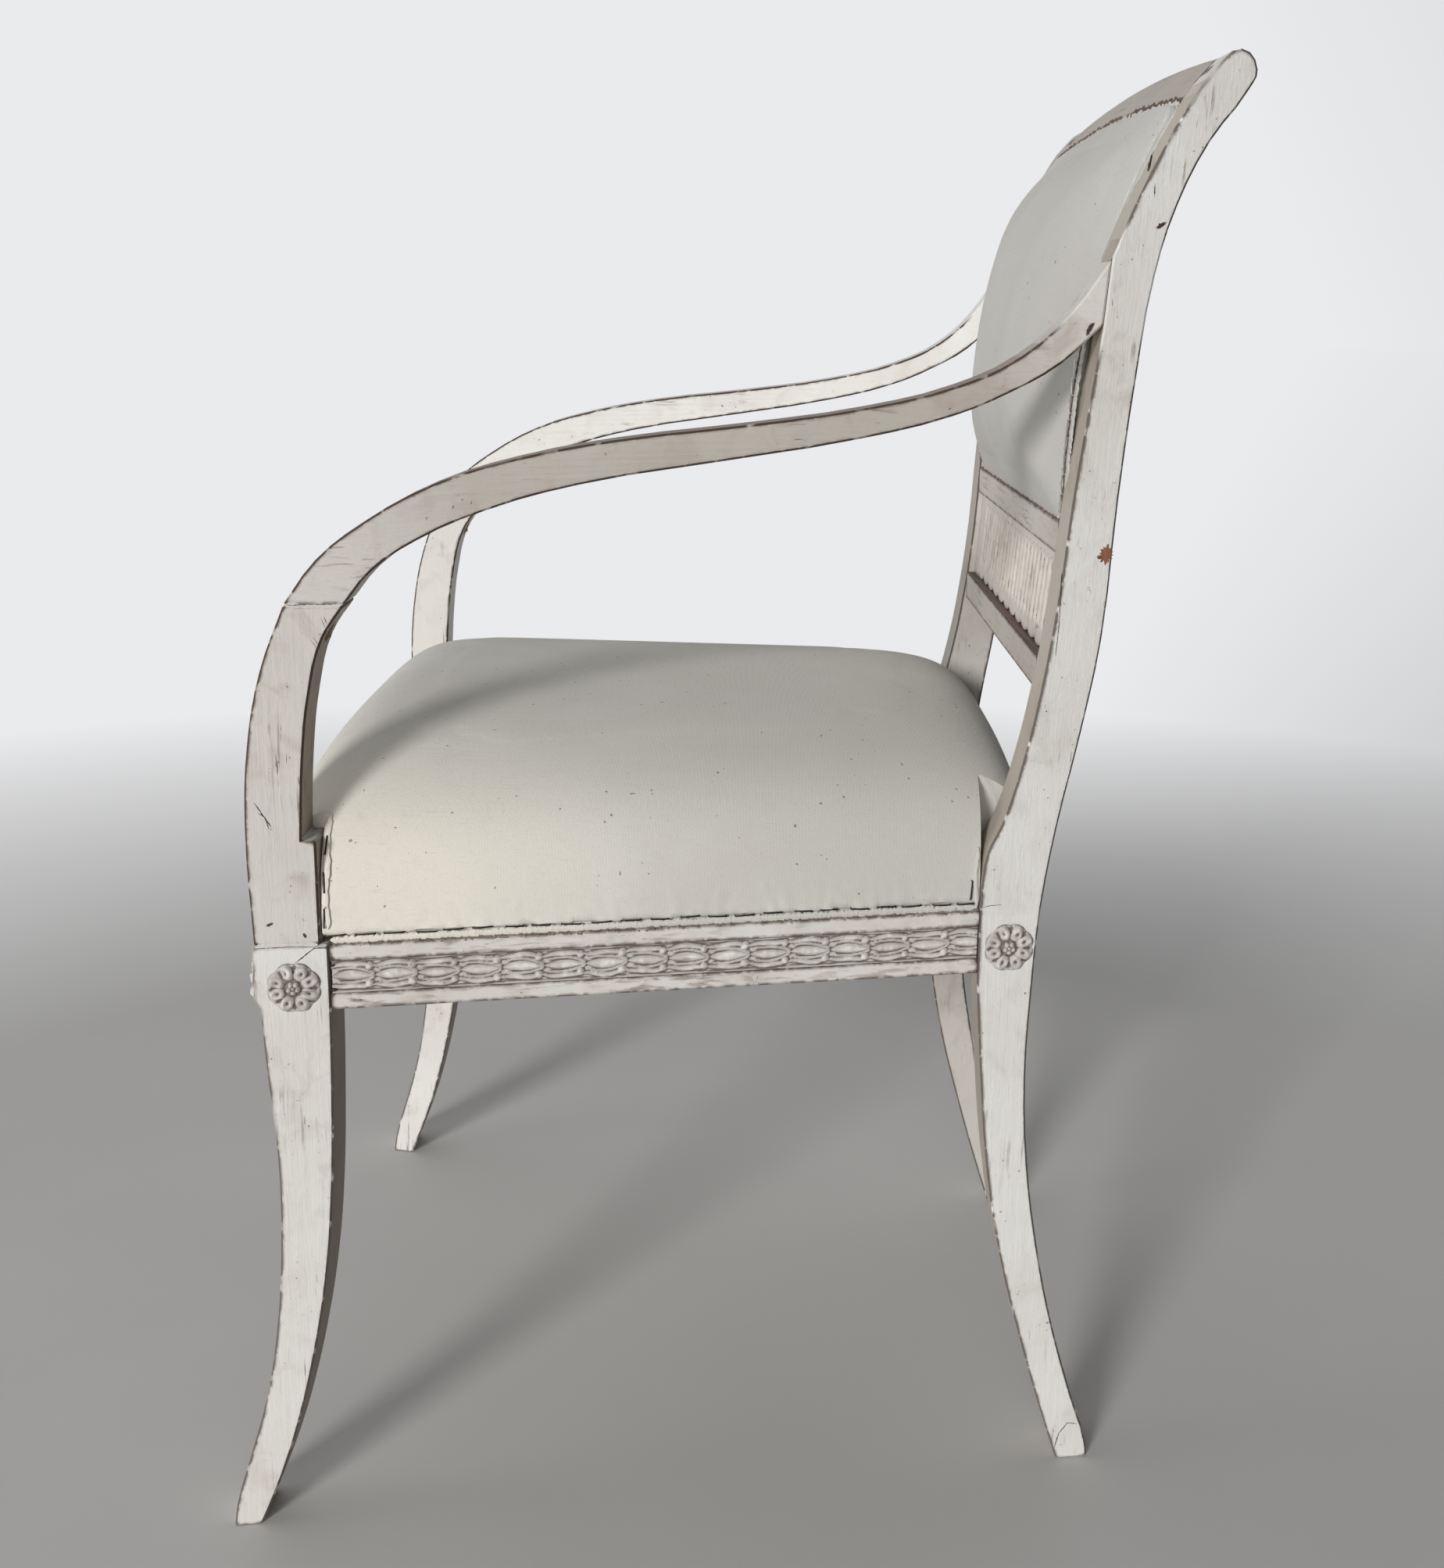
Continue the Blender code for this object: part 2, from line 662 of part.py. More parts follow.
def notch_round_frame(pad, clear):
    """Cuts the corners of a seat layer away where the posts and the stiles come up."""
    for label, side in SIDES:
        edge = 0.05
        spots = (
            ("post", side_x, (-0.30, -0.2215 + clear), POST_THICK),
            ("stile", side_x, (STILE_FRONT - clear, 0.25), STILE_THICK - 0.001),
        )
        for spot, surface, along, thick in spots:
            box = side_box(pad.name, (-thick - clear - 0.001, edge), along, (0.3, 0.6), side, surface)
            combine(pad, cutter(f"{pad.name}_{spot}_{label}", box), "DIFFERENCE")


def seat_upholstery():
    level = LEDGE_HIGH + GAP
    step = STRAP_THICK + GAP
    for index in range(3):
        y = -0.150 + index * 0.125
        reach = side_x(y, 0) - LEDGE_INSET - 0.004
        low = (-reach + 0.004, y - STRAP_WIDE / 2, level + step)
        high = (reach - 0.004, y + STRAP_WIDE / 2, level + step + STRAP_THICK)
        strap = box_mesh("strap", low, high)
        part(f"seat_strap_across_{index + 1}", strap, HESSIAN, 0.95)
    for index in range(3):
        x = (index - 1) * 0.110
        low = (x - STRAP_WIDE / 2, LEG_FRONT + 0.012, level)
        high = (x + STRAP_WIDE / 2, 0.195, level + STRAP_THICK)
        part(f"seat_strap_along_{index + 1}", box_mesh("strap", low, high), HESSIAN, 0.95)
    level += 2 * step
    cloth = side_sheet("seat_hessian", level, 0.001)
    notch_round_frame(cloth, 0.003)
    level += 0.001 + GAP
    stuffing = solid_pad("seat_stuffing", seat_grid(0.003, SEAT_HEM, 14), HAIR)
    under = box_mesh("under", (-0.4, -0.4, 0.3), (0.4, 0.4, level))
    combine(stuffing, cutter("seat_stuffing_under", under), "DIFFERENCE")
    notch_round_frame(stuffing, 0.0025)
    outside, inside = seat_grid(0, SEAT_HEM, 16), seat_grid(CLOTH, SEAT_HEM - 0.0006, 16)
    cover = cloth_shell("seat_cover", outside, inside)
    notch_round_frame(cover, GAP)


def side_sheet(name, level, thick):
    """A flat cloth over the whole seat frame."""
    work = bmesh.new()
    corners = []
    for y in (SEAT_FRONT + 0.006, SEAT_REAR - 0.006):
        x = side_x(y, 0) - 0.0095
        corners += [(-x, y), (x, y)] if y < 0 else [(x, y), (-x, y)]
    face = work.faces.new([work.verts.new((x, y, level)) for x, y in corners])
    grown = bmesh.ops.extrude_face_region(work, geom=[face])
    lifted = [item for item in grown["geom"] if isinstance(item, bmesh.types.BMVert)]
    bmesh.ops.translate(work, vec=(0, 0, thick), verts=lifted)
    return part(name, mesh_of(work, name), HESSIAN, 0.95)


def back_layer(curve, low, high, offset, thick, steps=8):
    """Outline of a thin layer that follows the curve of the back."""
    heights = [low + (high - low) * index / steps for index in range(steps + 1)]
    inner = [(curve(z) + offset, z, "corner") for z in heights]
    outer = [(curve(z) + offset + thick, z, "corner") for z in reversed(heights)]
    return inner + outer


def back_upholstery():
    hessian = back_layer(back_front_y, 0.630, 0.852, 0.0078, 0.0008)
    arched(cross_piece("back_hessian", hessian, stile_x, STILE_THICK + 0.002, HESSIAN, 1).data)
    for index in range(2):
        z = 0.705 + 0.080 * index
        outline = back_layer(back_front_y, z - STRAP_WIDE / 2, z + STRAP_WIDE / 2, 0.0093, 0.0010, 4)
        name = f"back_strap_across_{index + 1}"
        arched(cross_piece(name, outline, stile_x, STILE_THICK + 0.001, HESSIAN, 1).data)
        x = (index - 0.5) * 0.130
        outline = back_layer(back_front_y, 0.629, 0.853, 0.0109, 0.0012)
        name = f"back_strap_up_{index + 1}"
        mesh = outline_mesh(name, outline, x - STRAP_WIDE / 2, x + STRAP_WIDE / 2, 1)
        part(name, arched(mesh), HESSIAN, 0.95)
    stuffing = solid_pad("back_stuffing", crowned_grid(back_place(0.003), 12, BACK_FLATNESS), HAIR)
    outside = crowned_grid(back_place(0), 14, BACK_FLATNESS)
    inside = crowned_grid(back_place(CLOTH), 14, BACK_FLATNESS)
    cover = cloth_shell("back_cover", outside, inside)
    behind = outline_mesh("behind", back_layer(back_front_y, 0.60, 0.88, 0.0070, 0.06, 16), -0.3, 0.3, 1)
    trim = cutter("back_trim", arched(behind))
    combine(stuffing, trim, "DIFFERENCE")
    combine(cover, trim, "DIFFERENCE")
    linen = back_layer(back_rear_y, UPPER_RAIL[1] + GAP * 2, CREST_LOW - GAP * 2, -0.0044, 0.0009)
    arched(cross_piece("outside_back_cover", linen, stile_x, STILE_THICK, CALICO, 1).data)


# ---------------------------------------------------------------- assembly

def rake_seat_frame():
    """Lifts the rear and lowers the front of the seat frame and of the layers laid flat on it."""
    raked = ("side_rail", "front_rail", "back_rail", "husk_band", "corner_block", "seat_strap",
             "seat_hessian", "seat_stuffing_under")
    for obj in (*PARTS.objects, *CUTTERS.objects):
        if obj.name.startswith(raked):
            for vert in obj.data.vertices:
                vert.co.z += SEAT_RAKE * vert.co.y


def main():
    legs, posts, arms, stiles = {}, {}, {}, {}
    for label, side in SIDES:
        legs[side] = front_leg(label, side)
        posts[side] = arm_post(label, side)
        arms[side] = arm(label, side)
        stiles[side] = rear_stile(label, side)
        side_rail(label, side, legs[side], stiles[side])
        side_rosette("rosette_side_" + label, (-0.2375, ROSETTE_FRONT_Z), side, side_x)
        side_rosette("rosette_rear_" + label, (0.1890, ROSETTE_REAR_Z), side, side_x)
        front_rosette("rosette_front_" + label, side)
    leg_pair = [legs[side] for _, side in SIDES]
    stile_pair = [stiles[side] for _, side in SIDES]
    front = LEG_FRONT + 0.0015
    front_rail = cross_piece("front_rail", rail_section(front, 1), side_x, LEG_THICK)
    cross_tenons(front_rail, leg_pair, (-0.2500, -0.2405), (0.350, 0.377), side_x, LEG_THICK)
    back_rail = cross_piece(
        "back_rail",
        [(0.1790, RAIL_LOW, "corner"), (0.2020, RAIL_LOW, "corner"),
         (0.2020, LEDGE_HIGH, "corner"), (0.1790, LEDGE_HIGH, "corner")],
        side_x, STILE_THICK,
    )
    cross_tenons(back_rail, stile_pair, (0.1930, 0.2000), (0.350, 0.390), side_x, STILE_THICK, 0.016)
    crest_rail(stile_pair)
    plain_back_rail("upper_back_rail", UPPER_RAIL, stile_pair, 0.2075, 0.022, TONGUE)
    plain_back_rail("lower_back_rail", LOWER_RAIL, stile_pair, 0.2000, 0.022)
    fluted_panel()
    husk_strips()
    for label, side in SIDES:
        corner_block("corner_block_front_" + label, side, True, legs)
        corner_block("corner_block_rear_" + label, side, False, stiles)
        side_dowels(label, side, legs[side], posts[side], arms[side], stiles[side])
    seat_upholstery()
    back_upholstery()
    rake_seat_frame()


main()
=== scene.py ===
"""Looks of the painted armchair: worn paint, carved rails, calico upholstery and its staples."""

import math
import random

import bmesh
import bpy
import numpy as np
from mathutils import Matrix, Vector, noise
from mathutils.bvhtree import BVHTree


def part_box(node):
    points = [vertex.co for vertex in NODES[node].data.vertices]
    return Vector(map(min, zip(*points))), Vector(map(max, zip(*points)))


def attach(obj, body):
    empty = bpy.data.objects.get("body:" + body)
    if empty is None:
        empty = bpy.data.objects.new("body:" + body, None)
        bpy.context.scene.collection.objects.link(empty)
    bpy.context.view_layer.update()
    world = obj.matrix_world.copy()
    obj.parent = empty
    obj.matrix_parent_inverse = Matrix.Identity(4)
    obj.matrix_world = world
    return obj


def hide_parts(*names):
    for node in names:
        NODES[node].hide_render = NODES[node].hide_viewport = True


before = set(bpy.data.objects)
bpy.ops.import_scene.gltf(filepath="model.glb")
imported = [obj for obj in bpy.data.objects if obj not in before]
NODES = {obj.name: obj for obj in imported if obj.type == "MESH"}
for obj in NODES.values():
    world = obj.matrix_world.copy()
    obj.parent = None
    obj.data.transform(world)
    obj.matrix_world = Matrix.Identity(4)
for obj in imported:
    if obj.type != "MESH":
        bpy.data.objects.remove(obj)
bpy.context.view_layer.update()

# The chair's own measures, in metres: +Z up, the front faces -Y.
GAP = 0.0003
SEAT_RAKE = 0.015
LEG_THICK, POST_THICK, STILE_THICK = 0.036, 0.029, 0.036
LEG_FRONT, LEG_REAR, POST_REAR, STILE_FRONT = -0.2605, -0.217, -0.2215, 0.1698
RAIL_HIGH, LEDGE_HIGH = 0.3860, 0.400
GROOVE_LOW, GROOVE_HIGH, GROOVE_DEEP = 0.3558, 0.3762, 0.003
UPPER_RAIL, LOWER_RAIL = (0.606, 0.625), (0.523, 0.543)
CREST_LOW, CREST_ARCH, CREST_HALF = 0.857, 0.0065, 0.2125
SEAT_HEM, SEAT_CROWN = 0.3875, 0.498
SEAT_FRONT, SEAT_REAR = -0.2568, 0.2055
PAD_INSET, SEAT_ROUND, FRONT_POWER, REAR_POWER = 0.0028, 0.3, 10, 8
BACK_BULGE, BACK_FLATNESS, BACK_SQUARENESS = 0.029, 2.15, 24
PANEL_FOOT, PANEL_TOP, FLUTE_DEEP = 0.2060, 0.2110, 0.0028
SIDE_HALF, SIDE_TAPER = 0.2385, 0.163
FLARE, FLARE_FOOT, FLARE_RISE = 0.055, 0.385, 0.495
ARM_INSIDE = 0.0272
ROSETTE_RADIUS, ROSETTE_RELIEF = 0.0155, 0.0039

SIDES = (("right", 1), ("left", -1))
SKY = (0.98, 0.985, 1.0, 1)
UP, AHEAD = Vector((0, 0, 1)), Vector((0, -1, 0))


# ---------------------------------------------------------------- surfaces of the chair

def side_x(y, z=0.0):
    """Half the width of the seat frame and of what stands flush with it, the same at every height."""
    return SIDE_HALF - SIDE_TAPER * y


def stile_x(y, z):
    """Half the width across the stiles, which lean out above the seat."""
    return side_x(y) + FLARE * max(0.0, z - FLARE_FOOT) / FLARE_RISE


def outward(side):
    """Straight out from a side face."""
    return Vector((side, SIDE_TAPER, 0)).normalized()


def back_front_y(z):
    """The front of the back's frame, which curls backwards towards the crest."""
    return 0.210 + 0.051 * (max(0.0, z - 0.62) / 0.24) ** 3


def back_rear_y(z):
    """The rear of the back's frame."""
    return 0.2335 + 0.040 * (max(0.0, z - 0.60) / 0.245) ** 3.2


def crest_lift(x, z):
    """How much the crest's arch lifts a point of the back."""
    share = (z - UPPER_RAIL[1]) / (CREST_LOW - UPPER_RAIL[1])
    return CREST_ARCH * max(0.0, 1 - (x / CREST_HALF) ** 2) * min(max(share, 0.0), 1.0)


# ---------------------------------------------------------------- camera, light, floor

def put(name, data):
    """A new object in the scene."""
    obj = bpy.data.objects.new(name, data)
    bpy.context.scene.collection.objects.link(obj)
    return obj


def make_camera():
    """The camera that was fitted to the photo."""
    data = bpy.data.cameras.new("camera")
    data.lens = 42.348
    camera = put("camera", data)
    camera.location = (1.28870, 0.02500, 0.74348)
    camera.rotation_euler = (1.319568, -0.010018, 1.586583)
    data.clip_start, data.clip_end = 0.05, 50
    bpy.context.scene.camera = camera


def area_light(name, place, target, size, watts, colour):
    data = bpy.data.lights.new(name, "AREA")
    data.shape, data.size, data.energy, data.color = "DISK", size, watts, colour
    light = put(name, data)
    light.location = place
    light.rotation_euler = (Vector(target) - Vector(place)).to_track_quat("-Z", "Y").to_euler()


def sky_strength(tree, direction):
    """Brightness of the room round the chair: pale beyond its far side, dim behind and above the camera."""
    x, y, z = tree.split(direction)
    turned = tree.total(x, tree.product(tree.either(y, -0.2), 0.72), tree.product(z, 0.42))
    return tree.node("MapRange", {"Value": turned, "From Min": -0.75, "From Max": 0.55,
                                  "To Min": 0.84, "To Max": 0.03}).outputs[0]


def make_studio():
    """The room's light, the lamps and the floor, which glows far from the chair."""
    world = bpy.data.worlds.new("studio")
    bpy.context.scene.world = world
    sky = Tree("studio", world)
    room = sky.nodes["Background"].inputs
    room["Color"].default_value = SKY
    sky.feed(room["Strength"], sky_strength(sky, sky.node("TexCoord").outputs["Generated"]))
    sun = bpy.data.lights.new("key", "SUN")
    sun.energy, sun.angle, sun.color = 2.15, math.radians(13), (1.0, 0.992, 0.975)
    key = put("key", sun)
    key.rotation_euler = Vector((-0.847, 0.407, -0.275)).to_track_quat("-Z", "Y").to_euler()
    area_light("fill", (2.6, -0.4, 0.7), (0, 0, 0.40), 2.0, 20, (1.0, 0.995, 0.985))
    area_light("front", (0.5, -2.3, 0.55), (-0.1, 0, 0.55), 0.9, 6, (1.0, 0.995, 0.985))
    bpy.context.scene.view_settings.view_transform = "Standard"
    work = bmesh.new()
    bmesh.ops.create_circle(work, cap_ends=True, segments=128, radius=45)
    mesh = bpy.data.meshes.new("floor")
    work.to_mesh(mesh)
    work.free()
    floor = put("floor", mesh)
    tree = Tree("pale_floor")
    spots = tree.noise(tree.place(), 3.0, 3)
    tree.colour(tree.mix(spots, (0.56, 0.555, 0.545), (0.63, 0.625, 0.61)))
    tree.roughness(0.75)
    at = tree.place()
    # Painted light: far from the chair the floor glows as bright as the room round it, and lights the chair
    # too.
    far = tree.ramp(tree.node("VectorMath", {0: at}, operation="LENGTH").outputs["Value"], 0.85, 2.3)
    glow = tree.node("Emission", {"Color": SKY[:3]})
    level = tree.node("VectorMath", {0: at}, operation="NORMALIZE").outputs[0]
    tree.feed(glow.inputs["Strength"], sky_strength(tree, level))
    blend = tree.node("MixShader", {0: far, 1: tree.shader.outputs[0], 2: glow.outputs[0]})
    tree.links.new(blend.outputs[0], tree.nodes["Material Output"].inputs["Surface"])
    mesh.materials.append(tree.material)


# ---------------------------------------------------------------- materials

class Tree:
    """The nodes of a new material, or of a world."""

    def __init__(self, name, world=None):
        self.material = world or bpy.data.materials.new(name)
        self.material.use_nodes = True
        self.nodes = self.material.node_tree.nodes
        self.links = self.material.node_tree.links
        self.shader = self.nodes.get("Principled BSDF")

    def node(self, kind, inputs=(), **settings):
        made = self.nodes.new("ShaderNode" + kind)
        for key, value in settings.items():
            setattr(made, key, value)
        for key, value in dict(inputs).items():
            self.feed(made.inputs[key], value)
        return made

    def feed(self, socket, value):
        if isinstance(value, bpy.types.NodeSocket):
            self.links.new(value, socket)
        elif socket.type == "RGBA":
            socket.default_value = (*value, 1)
        else:
            socket.default_value = value

    def place(self, scale=(1, 1, 1)):
        coords = self.node("TexCoord").outputs["Object"]
        if scale == (1, 1, 1):
            return coords
        return self.node("Mapping", {"Vector": coords, "Scale": scale}).outputs[0]

    def noise(self, vector, scale, detail=2.0, distortion=0.0):
        return self.node("TexNoise", {"Vector": vector, "Scale": scale, "Detail": detail,
                                      "Distortion": distortion}).outputs["Fac"]

    def ramp(self, value, low, high):
        """0 below low, 1 above high, or the other way round when low is the greater."""
        return self.node("MapRange", {"Value": value, "From Min": low, "From Max": high}).outputs[0]

    def math(self, operation, a, b=0.0):
        made = self.node("Math", operation=operation)
        self.feed(made.inputs[0], a)
        self.feed(made.inputs[1], b)
        return made.outputs[0]

    def fold(self, operation, *values):
        """One node after another over several values."""
        result = values[0]
        for value in values[1:]:
            result = self.math(operation, result, value)
        return result

    def product(self, *values):
        return self.fold("MULTIPLY", *values)

    def either(self, *values):
        return self.fold("MAXIMUM", *values)

    def total(self, *values):
        return self.fold("ADD", *values)

    def split(self, vector):
        """The three parts of a vector."""
        return self.node("SeparateXYZ", {0: vector}).outputs

    def facing(self, kind="Normal"):
        """The three parts of the surface's direction."""
        return self.split(self.node("NewGeometry").outputs[kind])

    def mix(self, factor, a, b):
        made = self.node("Mix", data_type="RGBA")
        self.feed(made.inputs[0], factor)
        self.feed(made.inputs[6], a)
        self.feed(made.inputs[7], b)
        return made.outputs[2]

    def threads(self, pitch):
        """Rows of threads across each axis."""
        return [self.math("ABSOLUTE", self.math("SINE", self.product(part, math.pi / pitch)))
                for part in self.split(self.place())]

    def over(self, under, tone, amount, value, low, high):
        """A tone laid over another as a value goes from low to high."""
        return self.mix(self.product(self.ramp(value, low, high), amount), under, tone)

    def occlusion(self, distance, inside=False):
        """1 in crevices, or along arrises when looking inside."""
        made = self.node("AmbientOcclusion", {"Distance": distance}, inside=inside,
                         only_local=inside, samples=6)
        return self.math("SUBTRACT", 1.0, made.outputs["AO"])

    def hollow(self):
        """1 in the hollows of a carving, which stores them point by point."""
        return self.node("Attribute", attribute_name="hollow").outputs["Fac"]

    def near(self, place, inner, outer):
        """1 within inner of a place or of its mirror image, falling to 0 at outer."""
        x, y, z = self.split(self.place())
        mirrored = self.node("CombineXYZ", {0: self.math("ABSOLUTE", x), 1: y, 2: z}).outputs[0]
        away = self.node("VectorMath", {0: mirrored}, operation="DISTANCE")
        away.inputs[1].default_value = place
        return self.ramp(away.outputs["Value"], outer, inner)

    def colour(self, value):
        self.feed(self.shader.inputs["Base Color"], value)

    def roughness(self, low, high=None, value=None):
        """One roughness, or from low to high as a value goes from 0 to 1."""
        if value is not None:
            low = self.node("MapRange", {"Value": value, "To Min": low, "To Max": high}).outputs[0]
        self.feed(self.shader.inputs["Roughness"], low)

    def bump(self, height, distance, strength=1.0):
        made = self.node("Bump", {"Height": height, "Distance": distance, "Strength": strength})
        self.links.new(made.outputs[0], self.shader.inputs["Normal"])


ARM_ROOT, SCARF = (0.232, 0.2200, 0.7565), (0.262, -0.2160, 0.583)
WORN = (0.070, 0.043, 0.031)
STAIN = (0.385, 0.315, 0.275)
UNDERCOAT = (0.25, 0.195, 0.165)
THREAD_PITCH = 0.00062


def shade(tone, *factors):
    """A tone times one factor, or times a factor for each of red, green and blue."""
    return tuple(c * f for c, f in zip(tone, factors * 3))


def painted(name, tone, grain=2, dirt=0.6, wear=1.0, rub=0.5, bare_top=False, carving=False,
            fades=(), front=None, rear=None, top=None):
    """Old chalky paint over brown wood: brushed, stained, and rubbed through along its arrises.

    fades are (place, inner, outer, tone): round each place, on both sides of the chair, the paint takes
    that tone. front, rear and top darken the faces that look forwards, backwards and up: painted shade.
    Crevices, joints and paint under other parts darken where occlusion is high: dirt, and painted shade.
    """
    tree = Tree(name)
    at = tree.place()

    def run(across, along, detail, twist=0.0):
        scale = [across] * 3
        scale[grain] = along
        return tree.noise(tree.place(tuple(scale)), 1.0, detail, twist)

    streaks, brush = run(330.0, 15.0, 5, 0.5), run(950.0, 60.0, 3)
    scratches = run(700.0, 46.0, 2, 0.3)
    clouds = tree.noise(at, 9.0, 4, 0.4)
    mottle = tree.noise(at, 52.0, 7, 0.7)
    broken = tree.noise(at, 120.0, 5, 0.6)
    grit = tree.noise(at, 340.0, 3)
    paint = tree.mix(tree.ramp(clouds, 0.36, 0.66), tone, shade(tone, 0.90, 0.88, 0.86))
    for place, inner, outer, other in fades:
        paint = tree.mix(tree.near(place, inner, outer), paint, other)
    paint = tree.over(paint, shade(tone, 0.78), 0.16, brush, 0.35, 0.75)
    stains = tree.product(tree.ramp(mottle, 0.50, 0.72), tree.ramp(clouds, 0.28, 0.62), dirt)
    paint = tree.mix(stains, paint, STAIN)
    patches = tree.ramp(tree.noise(at, 24.0, 4, 0.5), 0.60 - 0.22 * rub, 0.72 - 0.10 * rub)
    rubbed = tree.product(tree.ramp(streaks, 0.60 - 0.06 * rub, 0.68 - 0.04 * rub), patches, 0.75)
    paint = tree.mix(rubbed, paint, UNDERCOAT)
    nicks = tree.product(tree.ramp(scratches, 0.70, 0.72), patches, 0.8)
    specks = tree.product(tree.ramp(grit, 0.70, 0.72), tree.ramp(mottle, 0.46, 0.60), 0.8)
    paint = tree.mix(tree.either(nicks, specks), paint, WORN)
    facing = tree.facing("True Normal")
    # Faces that look forwards, backwards or up take a darker paint: painted shade.
    for axis, sign, factors in ((1, -1, front), (1, 1, rear), (2, 1, top)):
        if factors:
            shaded_paint = tree.node("VectorMath", {0: paint, 1: factors}, operation="MULTIPLY").outputs[0]
            shaded_side = tree.ramp(tree.product(facing[axis], sign), 0.74, 0.86)
            paint = tree.mix(shaded_side, paint, shaded_paint)
    arris = tree.occlusion(0.0034, inside=True)
    if not carving:
        turned = tree.math("ABSOLUTE", facing[0])
        eased = tree.product(tree.ramp(turned, 0.30, 0.45), tree.ramp(turned, 0.95, 0.90))
        if grain == 2:
            eased = tree.product(eased, tree.ramp(tree.math("ABSOLUTE", facing[2]), 0.67, 0.60))
        arris = tree.either(arris, tree.product(eased, 0.42))
    worn = tree.total(tree.product(arris, 1.1), tree.product(broken, 0.75))
    held = tree.math("SUBTRACT", 1.0, tree.near(ARM_ROOT, 0.030, 0.040))
    gaps = tree.ramp(tree.noise(at, 21.0, 2), 0.22, 0.36)
    worn = tree.product(tree.ramp(worn, 0.68, 0.78), gaps, wear, held)
    # Brown laid where occlusion is high, in crevices, at joints and under parts: dirt, and painted shade.
    crevice = tree.total(tree.occlusion(0.0022), tree.product(broken, 0.3))
    dirt_and_shade = tree.product(tree.ramp(crevice, 0.55, 0.90), 0.55, held)
    if carving:
        sunk = tree.ramp(tree.total(tree.hollow(), tree.product(broken, 0.5)), 0.60, 0.95)
        dirt_and_shade = tree.product(tree.either(sunk, tree.product(dirt_and_shade, 0.4)), 0.92)
    paint = tree.mix(dirt_and_shade, paint, tree.mix(broken, WORN, UNDERCOAT))
    paint = tree.mix(worn, paint, WORN)
    if bare_top:
        wood = tree.mix(tree.ramp(streaks, 0.4, 0.62), (0.150, 0.090, 0.058), (0.075, 0.045, 0.032))
        paint = tree.mix(tree.ramp(tree.facing()[2], 0.72, 0.90), paint, wood)
    tree.colour(paint)
    tree.roughness(0.60, 0.82, worn)
    height = tree.total(tree.product(streaks, 0.35), tree.product(brush, 0.22),
                        tree.product(mottle, 0.55), tree.product(grit, 0.22))
    height = tree.math("SUBTRACT", height, tree.product(tree.either(worn, rubbed, nicks, specks), 0.30))
    tree.bump(height, 0.0010, 0.75)
    return tree.material


def calico(name, tone, painted_light_at=None, painted_shade_at=None):
    """Unbleached plain weave with slubs, seed flecks, faint stains, dirt, painted shade and painted light."""
    tree = Tree(name)
    at = tree.place()
    threads = tree.threads(THREAD_PITCH)
    facing = [tree.math("ABSOLUTE", part) for part in tree.facing()]
    weave = tree.total(tree.product(facing[2], threads[0], threads[1]),
                       tree.product(facing[0], threads[1], threads[2]),
                       tree.product(facing[1], threads[0], threads[2]))
    slubs = tree.either(tree.noise(tree.place((9, 620, 620)), 1.0, 3),
                        tree.noise(tree.place((620, 9, 620)), 1.0, 3))
    stains = tree.noise(at, 6.5, 4, 0.6)
    smudges = tree.noise(at, 34.0, 4, 0.4)
    cloth = tree.mix(tree.ramp(stains, 0.36, 0.70), tone, shade(tone, 0.90, 0.885, 0.85))
    if painted_light_at:
        # A paler, warmer patch round the first place: painted light.
        cloth = tree.mix(tree.product(tree.near(painted_light_at, 0.05, 0.17), 0.8), cloth, (0.90, 0.855, 0.75))
        # A darker patch round the second place: painted shade.
        cloth = tree.mix(tree.product(tree.near(painted_shade_at, 0.04, 0.20), 0.8), cloth, shade(tone, 0.76))
    cloth = tree.over(cloth, shade(tone, 0.80), 0.35, slubs, 0.60, 0.80)
    cloth = tree.over(cloth, shade(tone, 0.78), 0.28, smudges, 0.60, 0.78)
    cloth = tree.over(cloth, (0.12, 0.09, 0.07), 0.7, tree.noise(at, 300.0, 0), 0.838, 0.850)
    # Brown where occlusion is high, by the staples and edges: dirt, and painted shade.
    cloth = tree.over(cloth, (0.34, 0.28, 0.22), 0.25, tree.occlusion(0.0035), 0.35, 0.95)
    tree.colour(tree.over(cloth, shade(tone, 0.6), 0.16, weave, 0.9, 0.1))
    tree.roughness(0.88)
    tree.shader.inputs["Sheen Weight"].default_value = 0.12
    tree.shader.inputs["Sheen Roughness"].default_value = 0.5
    tree.bump(tree.total(weave, tree.product(slubs, 1.6)), 0.00016, 0.7)
    return tree.material


def coarse_weave(name, dark, light, pitch, hairy=0.5):
    """Jute cloth seen flat: hessian or webbing."""
    tree = Tree(name)
    x, y, z = tree.threads(pitch)
    weave = tree.product(x, tree.either(y, tree.product(z, 0.9)))
    fuzz = tree.noise(tree.place(), 420.0, 3)
    jute = tree.mix(tree.ramp(tree.total(weave, tree.product(fuzz, hairy)), 0.25, 1.1), dark, light)
    tree.colour(tree.over(jute, dark, 0.4, tree.noise(tree.place(), 14.0, 3), 0.45, 0.7))
    tree.roughness(0.95)
    tree.bump(tree.total(weave, tree.product(fuzz, 0.4)), 0.0004, 0.8)
    return tree.material


def bare_wood(name, dark, light):
    """Wood without paint, or old dirt that lies like it."""
    tree = Tree(name)
    rings = tree.noise(tree.place((140, 140, 7)), 1.0, 5, 0.6)
    flecks = tree.noise(tree.place(), 500.0, 2)
    wood = tree.mix(tree.ramp(rings, 0.35, 0.68), light, dark)
    tree.colour(tree.over(wood, dark, 0.4, flecks, 0.6, 0.7))
    tree.roughness(0.72)
    tree.bump(rings, 0.0006, 0.5)
    return tree.material


